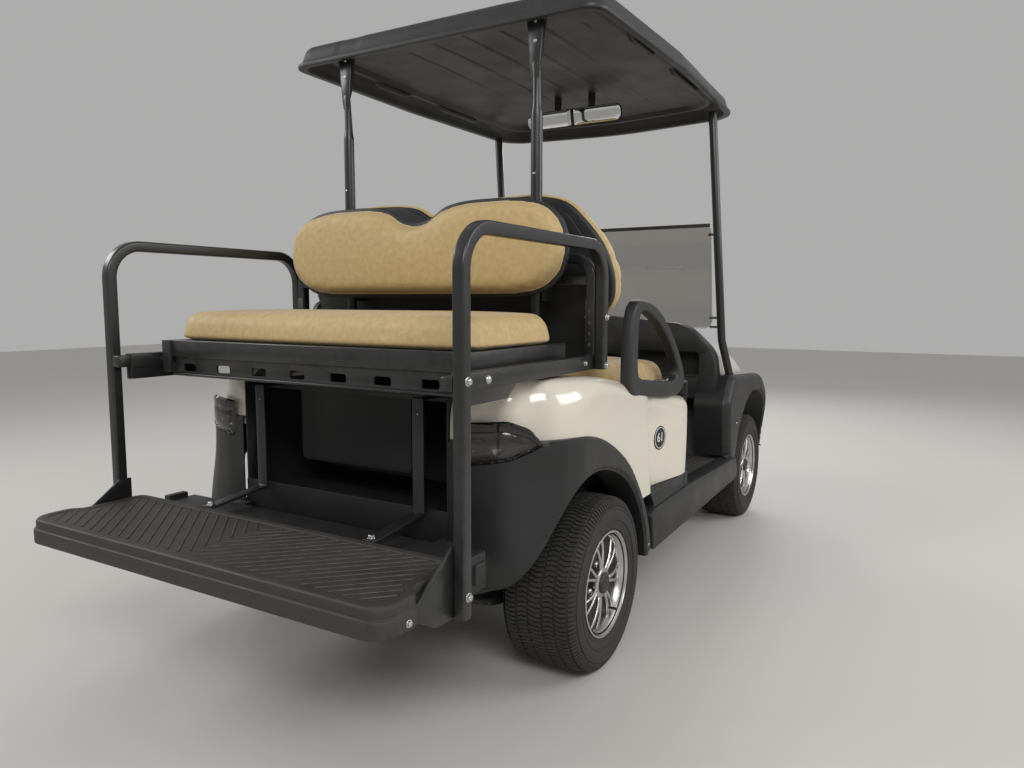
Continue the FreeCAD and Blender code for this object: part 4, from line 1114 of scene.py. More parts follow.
def planSpot(s, z, inset):
    # s runs along the side as y, round the rear corner and on across the rear face
    half, rear, corner = bodySizes["half"], bodySizes["rear"], bodySizes["corner"]
    # the corner flattens on its way up
    away = min(abs(s - (bendStart + bendEnd) / 2) / 165, 1)
    rise = 0.3 + 0.7 * smoothShare((z - 330) / 260)
    inset += bodySizes["cut"] * math.cos(away * math.pi / 2) ** 2 * rise
    if s <= bendStart:
        return spot(half - inset, s, z)
    if s <= bendEnd:
        angle = (s - bendStart) / corner
        reach = corner - inset
        return spot(half - corner + reach * math.cos(angle), bendStart + reach * math.sin(angle), z)
    return spot(half - corner - (s - bendEnd), rear - inset, z)


def stepOut(s):
    # How far the fender stands out from the panel
    share = smoothShare((s - bendStart) / (bendEnd - bendStart))
    return bodySizes["sideStep"] + (bodySizes["rearStep"] - bodySizes["sideStep"]) * share


def panelInset(s, z, top):
    # The flat area by the seat lies behind the haunch, and the rear corner is drawn in
    height = (z - bodySizes["bottom"]) / (top - bodySizes["bottom"])
    crease = -394 + (z - bodySizes["bottom"]) * 0.2
    recess = smoothShare((crease + 95 - s) / 95) * min(max((s + 590) / (crease + 590), 0), 1)
    recess *= 1 - smoothShare((height - 0.62) / 0.45)
    drawn = smoothShare((s - 130) / 190) * (1 - 0.75 * smoothShare((s - 420) / 130))
    return (bodySizes["recess"] * recess + bodySizes["tuck"] * (1 - height) ** 2
            + 3.5 * max(height, 0) ** 3 + bodySizes["drawIn"] * drawn)


def panelRow(s, flange):
    y = (planSpot(s, 0, 0).y - rearAxle) * 1000
    top = alongTable(topLine, y)
    soft = smoothShare((s - 40) / 230)
    shoulder = bodySizes["shoulder"] + 62 * soft
    bottom = bodySizes["bottom"]
    if s > -300:
        bottom = max(bottom, alongTable(flareTop, s) - 22.0)
    edge = fall(s - bodySizes["front"], 10)
    row = []
    for k in range(19):
        z = bottom + (top - shoulder - bottom) * k / 18
        row.append(planSpot(s, z, edge + flange + panelInset(s, z, top)))
    start = edge + panelInset(s, top - shoulder, top)
    across = max(bodySizes["half"] - bodySizes["seatHalf"] - start, 14) + 34 * soft
    for k in range(1, 11):
        angle = math.pi / 2 * k / 10
        row.append(planSpot(s, top - shoulder + (shoulder - flange) * math.sin(angle),
                            start + across * (1 - math.cos(angle)) + flange * math.cos(angle)))
    edgeX, edgeY = row[-1].x * 1000, (row[-1].y - rearAxle) * 1000
    goalX, goalY = bodySizes["seatHalf"], s
    if s > bodySizes["wellFront"]:
        share = (s - bodySizes["wellFront"]) / (wellSeam - bodySizes["wellFront"])
        goalX += (bodySizes["wellHalf"] - bodySizes["seatHalf"]) * share
        goalY = bodySizes["wellFront"]
    for k in range(1, 13):
        x = edgeX + (goalX - edgeX) * k / 12
        y = edgeY + (goalY - edgeY) * k / 12
        row.append(spot(x, y, alongTable(topLine, y) - flange))
    row.append(row[-1] - Vector((0, 0, 0.02)))
    return row


def makeBodyPanel():
    count = round((wellSeam - bodySizes["front"]) / 12)
    stations = [bodySizes["front"] + (wellSeam - bodySizes["front"]) * k / count
                for k in range(count + 1)]
    stations[1:1] = [stations[0] + edge for edge in (1.5, 4, 8)]
    rows = [panelRow(stations[0], flange) for flange in (26, 18, 10, 4)]
    rows += [panelRow(s, 0) for s in stations]
    panel = gridPiece("bodyPanel", rows, paint)
    giveWall(panel, 0.004)
    return settle(withMirror(panel), "cream_paint", "body_panels")


def densify(points, step):
    result = []
    for index, here in enumerate(points):
        after = points[(index + 1) % len(points)]
        count = max(1, math.ceil((after - here).length / step))
        result += [here + (after - here) * k / count for k in range(count)]
    return result


def distanceTo(point, path, closed=False):
    best = 1e9
    count = len(path) if closed else len(path) - 1
    for index in range(count):
        a = path[index]
        b = path[(index + 1) % len(path)]
        run = b - a
        length = run.length_squared
        share = 0 if length == 0 else min(max((point - a).dot(run) / length, 0), 1)
        best = min(best, (point - a - run * share).length)
    return best


def insideLoop(point, ring):
    inside = False
    j = len(ring) - 1
    for i in range(len(ring)):
        a, b = ring[i], ring[j]
        if (a.y > point.y) != (b.y > point.y):
            if point.x < (b.x - a.x) * (point.y - a.y) / (b.y - a.y) + a.x:
                inside = not inside
        j = i
    return inside


def flatPatch(outline, holes, spacing):
    # Triangles over an outline: dense boundary points and an inner grid
    loops = [densify(ring, spacing) for ring in [outline] + holes]
    points = []
    edges = []
    for ring in loops:
        start = len(points)
        points += ring
        edges += [(start + k, start + (k + 1) % len(ring)) for k in range(len(ring))]
    xs = [p.x for p in loops[0]]
    ys = [p.y for p in loops[0]]

    def within(p):
        return insideLoop(p, loops[0]) and not any(insideLoop(p, hole) for hole in loops[1:])

    row = 0
    y = min(ys)
    while y < max(ys):
        x = min(xs) + (spacing / 2 if row % 2 else 0)
        while x < max(xs):
            p = Vector((x, y))
            if within(p) and all(distanceTo(p, ring, True) > spacing * 0.55 for ring in loops):
                points.append(p)
            x += spacing
        y += spacing * 0.866
        row += 1
    result = delaunay_2d_cdt(points, edges, [], 1, 1e-4)
    spots = [Vector(p) for p in result[0]]
    faces = [tuple(face) for face in result[2]
             if within(sum((spots[k] for k in face), Vector((0, 0))) / 3)]
    return spots, faces, loops


lampOutline = [(528, 591, 8), (507, 591), (405, 607, 60), (340, 628, 14), (312, 642, 6),
               (352, 678, 60), (414, 697, 60), (507, 690), (528, 688, 8)]
lensOutline = [(522, 598, 6), (507, 598), (408, 613, 60), (350, 631, 10), (325, 641, 4),
               (358, 661, 60), (420, 675, 60), (507, 670), (522, 668, 6)]
fenderArch = [(-252, 232), (-244, 262), (-222, 338), (-148, 445), (-62, 508), (30, 541), (110, 551),
              (188, 538), (240, 504), (285, 456), (325, 405), (365, 360), (410, 325), (470, 310),
              (wellSeam - 4, 308)]
fenderLedge = [(wellSeam - 4, 646), (528, 646), (418, 646), (300, 646), (210, 646), (130, 639),
               (25, 608), (-100, 536), (-190, 443), (-256, 345), (-290, 262), (-289, 237),
               (-274, 228)]


fenderSizes = {"ledgeRound": 12.0, "archRound": 9.0, "wall": 0.003, "shelfStart": -180,
               "lipDepths": (0, 8, 22, 45, 80), "shelfDepths": (0, 12, 28, 46, 62)}


def makeFender():
    # Black rear fender: a rounded ledge, the arch's turned-in lip and the corner under the lamp
    arch = smoothRun(fenderArch, 7, False)
    ledge = smoothRun(fenderLedge, 7, False)
    lamp = roundCorners(lampOutline, 6)
    points, faces = flatPatch(arch + ledge, [lamp], 7.5)[:2]
    ledgeRound, archRound = fenderSizes["ledgeRound"], fenderSizes["archRound"]
    rounded = []
    for p in points:
        swell = -stepOut(p.x)
        swell += fall(distanceTo(p, ledge), ledgeRound) * (1.0 if p.x < 300 else 0.35)
        swell += fall(distanceTo(p, arch), archRound) * 0.8
        low = max(0.0, (470 - p.y) / 240)
        if p.x < 200:
            swell += low * low * 5.0
        rounded.append(planSpot(p.x, p.y, swell))
    skin = newPiece("fenderSkin", rounded, faces, fenderPlastic)
    lipRows = [[planSpot(p.x, p.y, archRound * 0.8 - stepOut(p.x) + depth) for p in arch]
               for depth in fenderSizes["lipDepths"]]
    lip = gridPiece("fenderLip", lipRows, fenderPlastic)
    shelfRows = [[planSpot(p.x, p.y,
                           ledgeRound * (1.0 if p.x < 300 else 0.35) - stepOut(p.x) + depth)
                  for p in ledge if p.x > fenderSizes["shelfStart"]]
                 for depth in fenderSizes["shelfDepths"]]
    shelf = gridPiece("fenderShelf", shelfRows, fenderPlastic)
    for piece in (skin, lip, shelf):
        giveWall(piece, fenderSizes["wall"])
    wing = joined("rearFender", [skin, lip, shelf])
    shade(wing, 40)
    return settle(withMirror(wing), "black_plastic", "rear_fenders")


def lampPatch(name, outline, holes, material, insetOf, wall):
    points, faces = flatPatch(outline, holes, 4.5)[:2]
    placed = [planSpot(p.x, p.y, insetOf(p) - stepOut(p.x)) for p in points]
    return giveWall(newPiece(name, placed, faces, material), wall, 45)


tailSizes = {"cups": ((488, 634), (440, 640), (394, 641)), "cupRadius": 23, "floor": 15.0,
             "cupDepth": 12.0, "proud": 3.0, "edge": 6, "crown": 5.0, "crownReach": 22}


def makeTaillights():
    # A dark frame, a smoked lens and three cups behind it
    outer = roundCorners(lampOutline, 4)
    inner = roundCorners(lensOutline, 4)
    cups = [Vector(place) for place in tailSizes["cups"]]
    cupDepth = tailSizes["cupDepth"]

    def frameInset(p):
        return -tailSizes["proud"] + fall(distanceTo(p, outer, True), tailSizes["edge"])

    def lensInset(p):
        reach = min(distanceTo(p, inner, True) / tailSizes["crownReach"], 1)
        return 1.5 - tailSizes["crown"] * math.sqrt(max(1 - (1 - reach) ** 2, 0))

    def cupInset(p):
        depth = tailSizes["floor"]
        for centre in cups:
            share = (p - centre).length / tailSizes["cupRadius"]
            if share < 1:
                depth = tailSizes["floor"] + cupDepth - cupDepth * share * share
        return depth

    frame = lampPatch("lampFrame", outer, [inner], smokeLens, frameInset, 0.008)
    cupsPiece = lampPatch("lampCups", inner, [], reflector, cupInset, 0.002)
    lens = lampPatch("tailLens", inner, [], smokeGlass, lensInset, 0.0025)
    settle(withMirror(joined("taillightBody", [frame, cupsPiece])), "lamp_smoke", "taillights")
    settle(withMirror(lens), "lamp_smoke")


makeBodyPanel()
makeFender()
makeTaillights()
print("body panels, rear fenders and taillights made")


# Canopy: one skin from the crown, over the fascia and back under
canopySizes = {"half": 548.0, "rear": -12.0, "front": -1420.0, "points": 420}
canopyProfile = [(548, 1760), (420, 1759.9), (300, 1759.7), (200, 1759.3), (130, 1758.4),
                 (90, 1757.4), (62, 1756), (44, 1753.8), (34, 1751.2), (27, 1747.8), (22, 1743.2),
                 (18.4, 1737), (15.6, 1729), (12.6, 1718), (9.4, 1706), (7.6, 1701.4),
                 (6.6, 1699.9), (5.6, 1699.2), (2.2, 1698.2), (0.8, 1697), (0.2, 1694.5),
                 (0.2, 1688), (0.8, 1686), (3, 1685), (18, 1685), (21, 1686), (22.5, 1689),
                 (24, 1699), (28, 1714), (34, 1724), (43, 1730), (54, 1731.5), (62, 1726),
                 (68, 1721), (76, 1719), (84, 1721), (90, 1727), (98, 1737), (112, 1743),
                 (150, 1746.5), (240, 1750), (380, 1752.5), (548, 1753)]


def resample(path, count):
    # Evenly spaced points round a closed path
    closed = path + [path[0]]
    lengths = [0.0]
    for a, b in zip(closed, closed[1:]):
        lengths.append(lengths[-1] + (b - a).length)
    result = []
    index = 0
    for k in range(count):
        want = lengths[-1] * k / count
        while lengths[index + 1] < want:
            index += 1
        share = (want - lengths[index]) / max(lengths[index + 1] - lengths[index], 1e-9)
        result.append(closed[index].lerp(closed[index + 1], share))
    return result


def canopyPlan():
    half, rear, front = canopySizes["half"], canopySizes["rear"], canopySizes["front"]
    side = [(half - 22, rear, 52), (half, -640, 900), (half - 24, front + 75, 120)]
    outline = [(-x, y, radius) for x, y, radius in side][::-1] + side + [(0, front, 900)]
    return resample(roundCorners(outline, 8), canopySizes["points"])


def canopyRing(plan, inset, z):
    half = canopySizes["half"]
    deep = (canopySizes["rear"] - canopySizes["front"]) / 2
    middle = (canopySizes["rear"] + canopySizes["front"]) / 2
    dx = 1 - inset / half
    dy = 1 - inset / deep if inset < 150 else (1 - 150 / deep) * (half - inset) / (half - 150)
    ring = []
    for p in plan:
        # a band stands back a little above each rear strut
        band = smoothShare((abs(p.x) - 266) / 8) * smoothShare((358 - abs(p.x)) / 8)
        atRear = p.y > canopySizes["rear"] - 25 and 1699 < z < 1752 and inset < 45
        push = 2.2 * band if atRear else 0
        ring.append(spot(p.x * dx, middle + (p.y - middle) * dy - push, z))
    return ring


def makeCanopy():
    plan = canopyPlan()
    rows = [canopyRing(plan, inset, z) for inset, z in canopyProfile]
    skin = gridPiece("canopy", rows, roofPlastic, False, True)
    cleanUp(skin, 2e-4)
    shade(skin, 28)
    runs = []
    rear, front = canopySizes["rear"], canopySizes["front"]
    for x in (-360, -240, -120, 0, 120, 240, 360):
        end = 150 + abs(x) * 0.25
        runs.append([spot(x, front + end, 1753), spot(x, front + end + 25, 1749.5),
                     spot(x, front + end + 110, 1751), spot(x, -700, 1753.5),
                     spot(x, rear - end - 110, 1751), spot(x, rear - end - 25, 1749.5),
                     spot(x, rear - end, 1753)])
    ribs = growNodes("canopyRibs", edgeMesh("canopyRibs", runs), stripTree,
                     {"Width": 0.030, "Height": 0.0036, "Material": roofPlastic})
    # moulded hand grips in the side channels
    grips = []
    for x, start, end in ((470, -330, -560), (470, -700, -1010)):
        path = bendPath([spot(x, start, 1736), spot(x, start - 40, 1716), spot(x, end + 40, 1716),
                         spot(x, end, 1736)], 0.05)
        grips.append(sweepPiece("grip", path, roundSection(11, 12), Vector((1, 0, 0)), roofPlastic,
                                60))
    grips = withMirror(joined("canopyGrips", grips))
    settle(skin, "roof_plastic", "roof")
    settle(joined("canopyUnder", [ribs, grips]), "roof_plastic")


# Rear struts: round foot, pressed neck and a folded plate under the roof
strutSizes = {"x": 331.0, "y": -55.5, "around": 28}


def makeRearStruts():
    x, y = strutSizes["x"], strutSizes["y"]
    rows = []
    for z, wide, deep, shift in ((800, 16, 16, 0), (1200, 16, 16, 0), (1448, 16, 16, 0),
                                 (1461, 16, 16, 0), (1466, 14.5, 15, 0), (1480, 12.5, 12.5, 0),
                                 (1510, 11.5, 11, 1),
                                 (1545, 11.5, 9, 3), (1575, 12.5, 6.5, 6), (1590, 13.5, 5, 8)):
        rows.append([spot(x + wide * math.cos(a), y + shift + deep * math.sin(a), z)
                     for a in fullTurn(strutSizes["around"])])
    tubePiece = subdivide(cappedPiece("strutTube", rows, kitSteel))
    plate = slabPiece("strutPlate", "xz", [(x - 11, 1545, 6), (x + 11, 1545, 6), (x + 14, 1600, 60),
                                           (x + 27, 1712, 6), (x - 27, 1712, 6),
                                           (x - 14, 1600, 60)],
                      y + 8, y + 11, kitSteel, 0.0008)
    flanges = []
    for side in (-1, 1):
        flanges.append(slabPiece("strutFlange", "yz",
                                 [(y + 11, 1560), (y + 11, 1712), (y - 6, 1712, 6),
                                  (y - 4, 1600, 40)],
                                 x + side * 12 - 1.5, x + side * 12 + 1.5, kitSteel, 0.0008))
        shear = 14.0 / 112.0 * side
        for v in flanges[-1].data.vertices:
            v.co.x += max(v.co.z - 1.600, 0) * shear
    foot = slabPiece("strutFoot", "xy", rectangle(x - 30, y - 24, x + 30, y + 26, 8), 1709, 1713,
                     kitSteel, 0.001)
    struts = withMirror(joined("rearStrut", [tubePiece, plate, foot] + flanges))
    settle(struts, "kit_steel", "rear_struts")


# Windscreen: the upper pane is folded down in front of the lower one
screenSizes = {"half": 462.0, "low": 852.0, "high": 1257.0, "y": -1314.72, "slope": 0.15490,
               "thick": 5.0}


def makeWindscreen():
    size = screenSizes
    half, low, high = size["half"], size["low"], size["high"]
    parts = []
    for start, offset in ((low, -8), (low + 6, -22)):
        outline = rectangle(-half, start, half, high, 30, 12)
        parts.append(slabPiece("pane", "xz", outline, offset, offset + size["thick"], tintSheet, 0))
        shade(parts[-1], 1)
    parts.append(slabPiece("hinge", "yz", rectangle(-22, high + 0.2, -2, high + 14, 3, 6), 4 - half,
                           half - 4, backing, 0.001))
    for part in parts:
        for v in part.data.vertices:
            height = min(v.co.z, high / 1000) - low / 1000
            v.co.y += size["y"] / 1000 + height * size["slope"]
    settle(joined("windscreenPanes", parts), "tinted_glass", "windscreen")


# Mirror: a tilted row of glass panes in a dark case
mirrorSizes = {"half": 200.0, "low": 1640.0, "high": 1700.0, "y": -955.0, "tilt": 12.5, "bow": 7.0}


def makeMirror():
    half, y = mirrorSizes["half"], mirrorSizes["y"]
    middle = (mirrorSizes["low"] + mirrorSizes["high"]) / 2
    tilt = math.radians(mirrorSizes["tilt"])

    def place(p, depth):
        out = depth + mirrorSizes["bow"] * (1 - (p.x / half) ** 2)
        up = p.y - middle
        return spot(p.x, y + out * math.cos(tilt) + up * math.sin(tilt),
                    middle + up * math.cos(tilt) - out * math.sin(tilt))

    def patch(name, outline, material, front, thick, edge):
        flat = roundCorners(outline, 4)
        points, faces = flatPatch(flat, [], 9)[:2]
        shaped = [place(p, front - fall(distanceTo(p, flat, True), edge)) for p in points]
        return giveWall(newPiece(name, shaped, faces, material), thick, 40)

    case = patch("mirrorCase", rectangle(-half, middle - 32, half, middle + 32, 26), backing, -3.0,
                 0.012, 6)
    panes = []
    for start, end, left, right in ((-half + 3, -7, 24, 2), (7, half - 3, 2, 24)):
        panes.append(patch("mirrorPane", [(start, middle - 29, left), (end, middle - 29, right),
                                          (end, middle + 29, right), (start, middle + 29, left)],
                           mirrorFace, -1.0, 0.002, 1.5))
    stems = []
    for side in (-1, 1):
        stems.append(slabPiece("mirrorStem", "yz",
                               [(y - 20, 1690, 4), (y - 8, 1690, 4), (y - 4, 1752),
                                                    (y - 26, 1752)], side * 72 - 11, side * 72 + 11,
                               backing, 0.0015))
    settle(joined("wideMirror", [case] + panes + stems), "mirror_glass", "mirror")


# Nose: the painted hood closes round the front
noseRows = [(-1306, 505, 640, 846, 3.4), (-1400, 504, 640, 836, 3.4), (-1500, 502, 640, 816, 3.3),
            (-1600, 498, 636, 790, 3.2), (-1700, 490, 626, 758, 3.0), (-1800, 478, 600, 722, 2.9),
            (-1880, 462, 552, 688, 2.8), (-1950, 440, 500, 650, 2.7), (-2005, 412, 462, 612, 2.6),
            (-2045, 376, 446, 574, 2.5), (-2068, 330, 440, 542, 2.4), (-2080, 262, 436, 512, 2.3),
            (-2086, 150, 434, 482, 2.2), (-2088, 20, 432, 455, 2.0)]


def curveThrough(rows, share):
    # Catmull-Rom through rows of numbers
    place = share * (len(rows) - 1)
    index = min(int(place), len(rows) - 2)
    t = place - index
    a, b = rows[max(index - 1, 0)], rows[index]
    c, d = rows[index + 1], rows[min(index + 2, len(rows) - 1)]
    return [0.5 * (2 * q + (r - p) * t + (2 * p - 5 * q + 4 * r - s) * t * t
                   + (3 * q - p - 3 * r + s) * t ** 3) for p, q, r, s in zip(a, b, c, d)]


def noseRing(y, half, low, high, power, count=48):
    ring = []
    for k in range(count + 1):
        angle = math.pi * k / count
        c, s = math.cos(angle), math.sin(angle)
        x = half * math.copysign(abs(c) ** (2 / power), c)
        z = low + (high - low) * abs(s) ** (2 / power)
        ring.append(spot(x, y, z + 6 * (1 - (x / half) ** 2) if half > 100 else z))
    return ring


def makeNose():
    rows = [noseRing(*curveThrough(noseRows, k / 60)) for k in range(61)]
    hood = gridPiece("frontHood", rows, paint)
    giveWall(hood, 0.004)
    return settle(hood, "cream_paint", "front_cowl")


# Headlamps: a clear cover over three bright bowls
headlampSizes = {"outline": [(252, 520, 10), (430, 545, 20), (420, 610, 24), (262, 566, 12)],
                 "bowls": ((292, 549), (346, 561), (394, 575)), "bowlRadius": 23, "sink": 3,
                 "steps": 300}


def makeHeadlamps():
    outline = roundCorners(headlampSizes["outline"], 4)
    points, faces, loops = flatPatch(outline, [], 6)
    bowls = [Vector(place) for place in headlampSizes["bowls"]]
    last = headlampSizes["steps"] - 1

    def layer(name, material, lift, edge, cup, wall):
        placed = []
        for p in points:
            # the hood's own height rows give how far forward the lamp lies at this place
            best = min(range(last + 1), key=lambda k: abs(hoodGap(p.x, p.y, k / last)))
            rise = lift - headlampSizes["sink"]
            depth = lift - fall(distanceTo(p, loops[0], True), edge) * rise / edge
            share = min((p - centre).length for centre in bowls) / headlampSizes["bowlRadius"]
            depth -= cup * max(1 - share * share, 0)
            placed.append(spot(p.x, curveThrough(noseRows, best / last)[0] - depth, p.y))
        return giveWall(newPiece(name, placed, faces, material), wall, 50)

    cover = layer("lampCover", clearLens, 17, 14, 0, 0.002)
    frame = layer("lampBowls", brightCup, 10, 7, 6.5, 0.0012)
    settle(withMirror(cover), "lamp_clear", "headlights")
    settle(withMirror(frame), "lamp_clear")


def hoodGap(x, z, share):
    half, low, high, power = curveThrough(noseRows, share)[1:]
    ratio = min(abs(x) / max(half, 1), 1)
    top = low + (high - low) * (1 - ratio ** power) ** (1 / power) if ratio < 1 else low
    return top - z


# Front fender: door post, arch and shelf over the tyre
frontFenderSizes = {"wheelY": -1664, "wheelZ": 229, "arch": 345, "post": 60, "side": 574.5,
                    "round": 30, "archRound": 10, "wall": 0.003,
                    "shelfDepths": (0, 25, 60, 90, 114), "lipDepths": (0, 12, 50, 100)}


def makeFrontFender():
    size = frontFenderSizes
    back = size["wheelY"] + size["arch"] + size["post"]
    ring = roundCorners([(back + 20, 345, 14), (back + 50, 560, 60), (back - 30, 668, 40),
                         (-1784, 640, 160), (-1994, 480, 90), (-2049, 300)], 12, False)
    arch = [Vector((size["wheelY"] + size["arch"] * math.cos(a),
                    size["wheelZ"] + size["arch"] * math.sin(a)))
            for a in [math.radians(174.5 + (5.5 - 174.5) * k / 40) for k in range(41)]]
    outline = ring + [Vector((-1994, 262))] + arch + [Vector((back - 60, 262))]
    points, faces, loops = flatPatch(outline, [], 9)

    def sideX(y):
        return size["side"] - 70 * min(max((-1840 - y) / 210, 0), 1) ** 2

    placed = []
    for p in points:
        sink = fall(distanceTo(p, ring), size["round"])
        sink += fall(distanceTo(p, arch), size["archRound"])
        placed.append(spot(sideX(p.x) - sink, p.x, p.y))
    skin = newPiece("frontFenderSkin", placed, faces, fenderPlastic)
    edge = [p for p in loops[0] if distanceTo(p, ring) < 0.01]
    rows = [[spot(sideX(p.x) - size["round"] - depth, p.x, p.y) for p in edge]
            for depth in size["shelfDepths"]]
    shelf = gridPiece("fenderShelf", rows, fenderPlastic)
    lipRows = [[spot(sideX(p.x) - size["archRound"] - depth, p.x, p.y) for p in arch]
               for depth in size["lipDepths"]]
    lip = gridPiece("archLip", lipRows, fenderPlastic)
    for part in (skin, shelf, lip):
        giveWall(part, size["wall"])
    wing = joined("frontFender", [skin, shelf, lip])
    shade(wing, 40)
    return settle(withMirror(wing), "black_plastic", "front_fenders")


# Seat kit tubes
tubeSizes = {"wide": 27.0, "corner": 5.0, "postX": 539.5, "postY": 612.5, "postFoot": 356.0,
             "barTop": 1100.0, "barBend": 0.085, "armX": 512.5, "frontY": -26.0, "armLow": 787.0,
             "armHigh": 823.0, "hoopTop": 1072.0, "hoopBend": 0.055, "crossZ": 1013.5}


def makeTubes():
    size = tubeSizes
    section = boxSection(size["wide"], size["wide"], size["corner"])
    x, front = size["postX"], size["frontY"]
    path = bendPath([spot(x, size["postY"], size["postFoot"]),
                     spot(x, size["postY"], size["barTop"]),
                     spot(x, front, size["barTop"]), spot(x, front, size["armLow"])],
                    size["barBend"])
    bars = withMirror(sweepPiece("grabBars", path, section, Vector((1, 0, 0)), kitSteel))
    settle(bars, "kit_steel", "grab_bars")
    x = size["armX"]
    path = bendPath([spot(-x, front, size["armHigh"]), spot(-x, front, size["hoopTop"]),
                     spot(x, front, size["hoopTop"]), spot(x, front, size["armHigh"])],
                    size["hoopBend"])
    hoop = sweepPiece("backHoop", path, section, Vector((0, 1, 0)), kitSteel)
    cross = sweepPiece("backCross",
                       [spot(-x + 10, front, size["crossZ"]), spot(x - 10, front, size["crossZ"])],
                       boxSection(25, 25, 4), Vector((0, 1, 0)), kitSteel)
    settle(joined("backFrame", [hoop, cross]), "kit_steel", "seat_back_frame")


# Hip restraints: soft-edged moulded loops
hipSizes = {"middle": 573.0, "thick": 15.0, "relaxSteps": 4}
hipOuter = [(-118, 722), (-110, 780), (-120, 890), (-140, 944), (-176, 964), (-225, 962),
            (-300, 949), (-360, 925), (-420, 889), (-485, 840), (-545, 782), (-583, 728),
            (-582, 696), (-554, 679), (-500, 670), (-340, 684), (-200, 702), (-150, 706)]
hipInner = [(-174, 790), (-172, 850), (-176, 905), (-190, 928), (-212, 934), (-265, 925),
            (-325, 903), (-390, 868), (-450, 824), (-495, 779), (-514, 751), (-508, 731),
            (-482, 722), (-400, 726), (-300, 735), (-215, 747), (-184, 760)]


def makeHipLoop():
    outer = resample(smoothRun(hipOuter, 5), 150)
    inner = resample(smoothRun(hipInner, 5), 300)
    mates = [min(inner, key=lambda q: (q - p).length) for p in outer]
    for _ in range(hipSizes["relaxSteps"]):
        mates = [(mates[k - 1] + mates[k] * 2 + mates[(k + 1) % len(mates)]) / 4
                 for k in range(len(mates))]
    section = roundCorners([(-1, -1, 0.30), (1, -1, 0.30), (1, 1, 0.42), (-1, 1, 0.42)], 0.12)
    rings = []
    for p, q in zip(outer, mates):
        middle = (p + q) / 2
        half = (p - q) / 2
        ring = []
        for c in section:
            lean = 1 - 0.10 * c.y
            place = middle + half * c.x * lean
            ring.append(spot(hipSizes["middle"] + c.y * hipSizes["thick"], place.x, place.y))
        rings.append(ring)
    loop = gridPiece("hipLoop", rings, backing, True, True)
    return settle(withMirror(loop), "black_plastic", "hip_restraints")


makeCanopy()
makeRearStruts()
makeWindscreen()
makeMirror()
makeNose()
makeHeadlamps()
makeFrontFender()
makeTubes()
makeHipLoop()
print("canopy, struts, mirror, nose, lamps, front fenders, tubes and hip loops made")


# Cushions
rearBackHalf = [(0, 1175), (48, 1184), (95, 1211), (150, 1223), (250, 1226), (343, 1221),
                (403, 1205), (443, 1176), (463, 1143), (470, 1105), (467, 1066), (452, 1030),
                (420, 1000), (376, 983), (300, 976), (150, 975), (0, 975)]
frontBackHalf = [(0, 1213), (48, 1221), (95, 1246), (150, 1257), (240, 1261), (327, 1258),
                 (406, 1237), (469, 1181), (516, 1119), (541, 1060), (549, 1012), (544, 965),
                 (524, 935), (480, 922), (300, 918), (150, 918), (0, 918)]


def backOutline(half, inset=0.0):
    mirrored = [(-x, z) for x, z in half[1:-1]]
    ring = resample(smoothRun(list(reversed(half)) + mirrored, 7), 260)
    return offsetLoop(ring, inset) if inset else ring


def pillowPoint(distance, radius, height):
    reach = min(max(distance, 0.0) / radius, 1.0)
    return height * math.sqrt(max(1 - (1 - reach) ** 2, 0.0))


def makePad(name, outline, spacing, face, rear, crown, place):
    # A closed pad: a crowned face over a flatter rear, both drawn in towards the outline
    points, faces, loops = flatPatch(outline, [], spacing)
    away = [distanceTo(p, loops[0], True) for p in points]
    deepest = max(away)
    front = []
    back = []
    for p, gap in zip(points, away):
        bulge = crown * (1 - (1 - min(gap / deepest, 1)) ** 2)
        front.append(place(p, pillowPoint(gap, face[0], face[1]) + bulge))
        back.append(place(p, -pillowPoint(gap, rear[0], rear[1])))
    count = len(points)
    shell = list(faces) + [tuple(reversed([k + count for k in f])) for f in faces]
    return newPiece(name, front + back, shell, vinyl, 35, 5e-5)


coverCloth = {"voxel": 0.006, "pressure": 4.0, "quality": 6, "mass": 0.4, "tension": 20,
              "bending": 6, "frames": 20, "relaxFactor": 0.5, "relaxSteps": 5}


def inflate(pad, cap):
    # Sewn cover over foam: a short cloth run, then the move is capped
    remesh = pad.modifiers.new("even", "REMESH")
    remesh.mode = "VOXEL"
    remesh.voxel_size = coverCloth["voxel"]
    remesh.use_smooth_shade = True
    makePlain(pad, 60)
    rest = [v.co.copy() for v in pad.data.vertices]
    cloth = pad.modifiers.new("cover", "CLOTH")
    cloth.settings.use_pressure = True
    cloth.settings.uniform_pressure_force = coverCloth["pressure"]
    cloth.settings.effector_weights.gravity = 0.0
    cloth.settings.quality = coverCloth["quality"]
    cloth.settings.mass = coverCloth["mass"]
    cloth.settings.tension_stiffness = coverCloth["tension"]
    cloth.settings.bending_stiffness = coverCloth["bending"]
    for step in range(1, coverCloth["frames"] + 1):
        scene.frame_set(step)
    depsgraph = bpy.context.evaluated_depsgraph_get()
    shaped = bpy.data.meshes.new_from_object(pad.evaluated_get(depsgraph))
    pad.modifiers.clear()
    for v, was, now in zip(pad.data.vertices, rest, shaped.vertices):
        move = now.co - was
        if move.length > cap:
            move *= cap / move.length
        v.co = was + move
    bpy.data.meshes.remove(shaped)
    scene.frame_set(1)
    relax = pad.modifiers.new("relax", "SMOOTH")
    relax.factor = coverCloth["relaxFactor"]
    relax.iterations = coverCloth["relaxSteps"]
    return subdivide(pad, 60)


